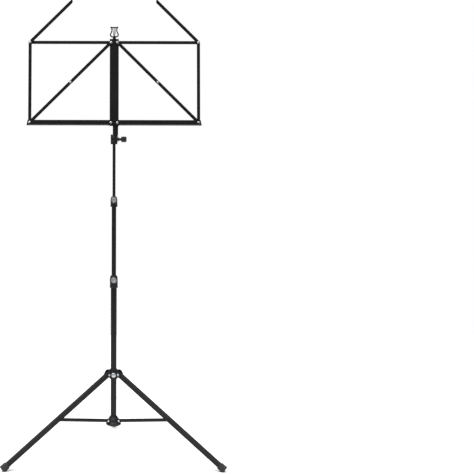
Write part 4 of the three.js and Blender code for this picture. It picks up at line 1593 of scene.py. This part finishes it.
    def page_arm(self, side: str) -> None:
        """Builds a page arm: a strip whose tip is bent forwards as a finger.

        Args:
            side: left or right.
        """
        back = self.layer(3)
        arm = self.strip(self.brace, 3, (0,))
        reach = self.brace + self.width / 2
        wide = self.width * 0.4
        front = back + self.finger
        start, inside, skin = self.brace - 6, reach - self.sheet, 0.02
        low, high = back + skin, back + self.sheet - skin
        path = rounded([
            (start, low), (reach, low, 2.6), (reach, front, 0.55), (inside, front, 0.55),
            (inside, high, 1.4), (start, high),
        ])
        arm.joined(Solid.upright(path, -wide, wide).bevelled(0.25, 2, 60))
        node = f"page_arm_{side}"
        place = self.place(side, self.corner, 135)
        settle(arm, f"{node}_strip", place, node, STRIP_COAT, [node])

    def rivet(self, back: float, last_layer: int, tail: bool) -> Solid:
        """Makes a domed rivet on Z through the layers up to the last one.

        Args:
            back: where its shank begins.
            last_layer: the last layer that it holds.
            tail: True gives it a closed head at its back.

        Returns:
            The solid.
        """
        front = self.layer(last_layer) + self.sheet + GAP
        shank = [(0, back), (self.shank, back)]
        if tail:
            low = back - GAP
            shank = [(0, low - 1), (2.8, low - 1, 0.5), (2.8, low, 0.2), (self.shank, low)]
        edge, rise = 0.35, 0.95
        dome = [(self.dome * math.cos(math.radians(a)), front + edge + rise * math.sin(math.radians(a)))
                for a in range(0, 91, 9)]
        dome[-1] = (0.0, dome[-1][1])
        neck = [(self.shank, front), (self.dome, front)]
        profile = rounded(shank + neck, 0.0, closed=False) + dome
        return Solid.turned(profile, 40)

    def set_all_rivets(self) -> None:
        """Sets the rivets of every moving body, each kind with its own length."""
        sides = ("left", "right")
        for name, joint, last_layer in (("shelf_rivet", "shelf_fold", 1),
                                        ("top_bar_rivet", "top_bar_turn", 2)):
            set_rivets(self.rivet(-1.0, last_layer, False), f"{name}s", self.spots(joint, sides),
                       "desk", [f"{name}_{side}" for side in sides], self.rivets)
        for side in sides:
            for name, joint, body in (("shelf_corner_rivet", "side_bar_turn", "shelf"),
                                      ("top_corner_rivet", "page_arm_turn", "top_bar")):
                node = f"{name}_{side}"
                set_rivets(self.rivet(self.layer(1), 3, True), f"{node}_set",
                           self.spots(joint, [side]), f"{body}_{side}", [node], self.rivets)
            self.brace_rivet(side)

    def spots(self, joint: str, sides: Sequence[str]) -> list[tuple[Vector, Vector]]:
        """Places and axes of the rivets on a joint's pivots.

        Args:
            joint: name of the joint without its side.
            sides: the sides that are wanted.

        Returns:
            Place in metres and axis of each rivet.
        """
        normal = self.layout.desk().col[2].to_3d()
        return [(self.layout.pivot(f"{joint}_{side}"), normal) for side in sides]

    def brace_rivet(self, side: str) -> None:
        """Sets the rivet in the middle of a diagonal brace.

        Args:
            side: left or right.
        """
        sign = -1 if side == "left" else 1
        half = self.link / 2
        middle = Vector((sign * (self.lower.x + half), self.lower.y + half, self.face))
        spot = (self.layout.desk() @ (middle * MM), self.layout.desk().col[2].to_3d())
        node = f"brace_rivet_{side}"
        set_rivets(self.rivet(self.layer(3), 3, False), f"{node}_set", [spot],
                   f"lower_brace_{side}", [node], self.rivets)


# ---------------------------------------------------------------- studio


@dataclass
class Studio:
    """Pale floor, soft lights and the camera.

    Attributes:
        layout: places and axes.
        distance: camera's distance in front of the column, in metres.
        height: its height, in metres.
        pitch: how many degrees it looks down.
        roll: how many degrees it is turned about its own axis.
        lens: its focal length, in millimetres.
        shift_x: sideways shift that sets the stand left of the middle.
        floor_reach: half the side of the floor, in metres.
        surround: strength of the surround as the pieces see it.
    """

    layout: Layout
    distance: float = 4.40
    height: float = 1.16
    pitch: float = 7.235
    roll: float = 0.12
    lens: float = 125.34
    shift_x: float = 0.2597
    floor_reach: float = 1.7
    surround: float = 0.22

    def build(self) -> None:
        """Sets up floor, world, lights and camera."""
        self.camera()
        self.floor()
        self.world()
        self.daylight()
        self.softbox("key", (-2.2, -3.2, 2.6), 1.6, 40.0)
        self.softbox("fill", (3.0, -2.4, 1.8), 1.8, 20.0)

    def camera(self) -> None:
        """Places the camera in front of the column, looking slightly down."""
        data = bpy.data.cameras.new("camera")
        data.lens = self.lens
        data.sensor_width = 36.0
        data.shift_x = self.shift_x
        camera = bpy.data.objects.new("camera", data)
        camera.location = self.layout.column.translation + Vector((0, -self.distance, self.height))
        tilt = Matrix.Rotation(math.radians(90 - self.pitch), 3, "X")
        roll = Matrix.Rotation(math.radians(self.roll), 3, "Z")
        camera.rotation_euler = (tilt @ roll).to_euler()
        bpy.context.scene.collection.objects.link(camera)
        bpy.context.scene.camera = camera

    def floor(self) -> None:
        """Lays a plain pale floor."""
        finish = bpy.data.materials.new("pale_floor")
        finish.use_nodes = True
        shader = finish.node_tree.nodes["Principled BSDF"]
        shader.inputs["Base Color"].default_value = linear("#f7f7f7")
        shader.inputs["Roughness"].default_value = 0.9
        shader.inputs["Specular IOR Level"].default_value = 0.1
        reach = self.floor_reach
        mesh = bpy.data.meshes.new("floor")
        mesh.from_pydata([(-reach, -reach, 0), (reach, -reach, 0), (reach, reach, 0), (-reach, reach, 0)],
                         [], [(0, 1, 2, 3)])
        mesh.materials.append(finish)
        floor = bpy.data.objects.new("floor", mesh)
        floor.location.z = -0.0005
        bpy.context.scene.collection.objects.link(floor)

    def world(self) -> None:
        """Gives a white backdrop to the camera and a dimmer surround to the pieces."""
        world = bpy.data.worlds.new("white_studio")
        world.use_nodes = True
        tree = world.node_tree
        seen = add_node(tree, "ShaderNodeLightPath").outputs["Is Camera Ray"]
        strength = add_node(tree, "ShaderNodeMapRange", None,
                            {"Value": seen, "To Min": self.surround, "To Max": 1.0})
        background = tree.nodes["Background"]
        background.inputs["Color"].default_value = (1, 1, 1, 1)
        tree.links.new(strength.outputs[0], background.inputs["Strength"])
        bpy.context.scene.world = world
        bpy.context.scene.view_settings.view_transform = "Standard"

    def daylight(self) -> None:
        """Adds a wide soft sun that lights the floor evenly."""
        data = bpy.data.lights.new("daylight", "SUN")
        data.energy = 4.0
        data.angle = math.radians(70)
        light = bpy.data.objects.new("daylight", data)
        light.rotation_euler = (math.radians(8), math.radians(-8), 0)
        bpy.context.scene.collection.objects.link(light)

    def softbox(self, name: str, place: tuple[float, float, float], size: float, power: float) -> None:
        """Hangs a square soft light that looks at the middle of the column.

        Args:
            name: its name.
            place: where it hangs, in metres.
            size: length of its side, in metres.
            power: its power in watts.
        """
        data = bpy.data.lights.new(name, "AREA")
        data.size = size
        data.energy = power
        light = bpy.data.objects.new(name, data)
        light.location = place
        aim = self.layout.column.translation + Vector((0, 0, 0.7)) - light.location
        light.rotation_euler = aim.to_track_quat("-Z", "Y").to_euler()
        bpy.context.scene.collection.objects.link(light)


# ---------------------------------------------------------------- the stand


def main() -> None:
    """Builds the stand and its studio."""
    logging.basicConfig(level=logging.INFO, format="%(name)s: %(message)s")
    layout = Layout(frame["joints"])
    Studio(layout).build()
    flutes, rivets = flute_tree(), rivet_tree()
    Column(layout, flutes).build()
    Tripod(layout, flutes, rib_tree(), rivets).build()
    TiltJoint(layout, flutes).build()
    Desk(layout, rivets).build()


if __name__ == "__main__":
    main()
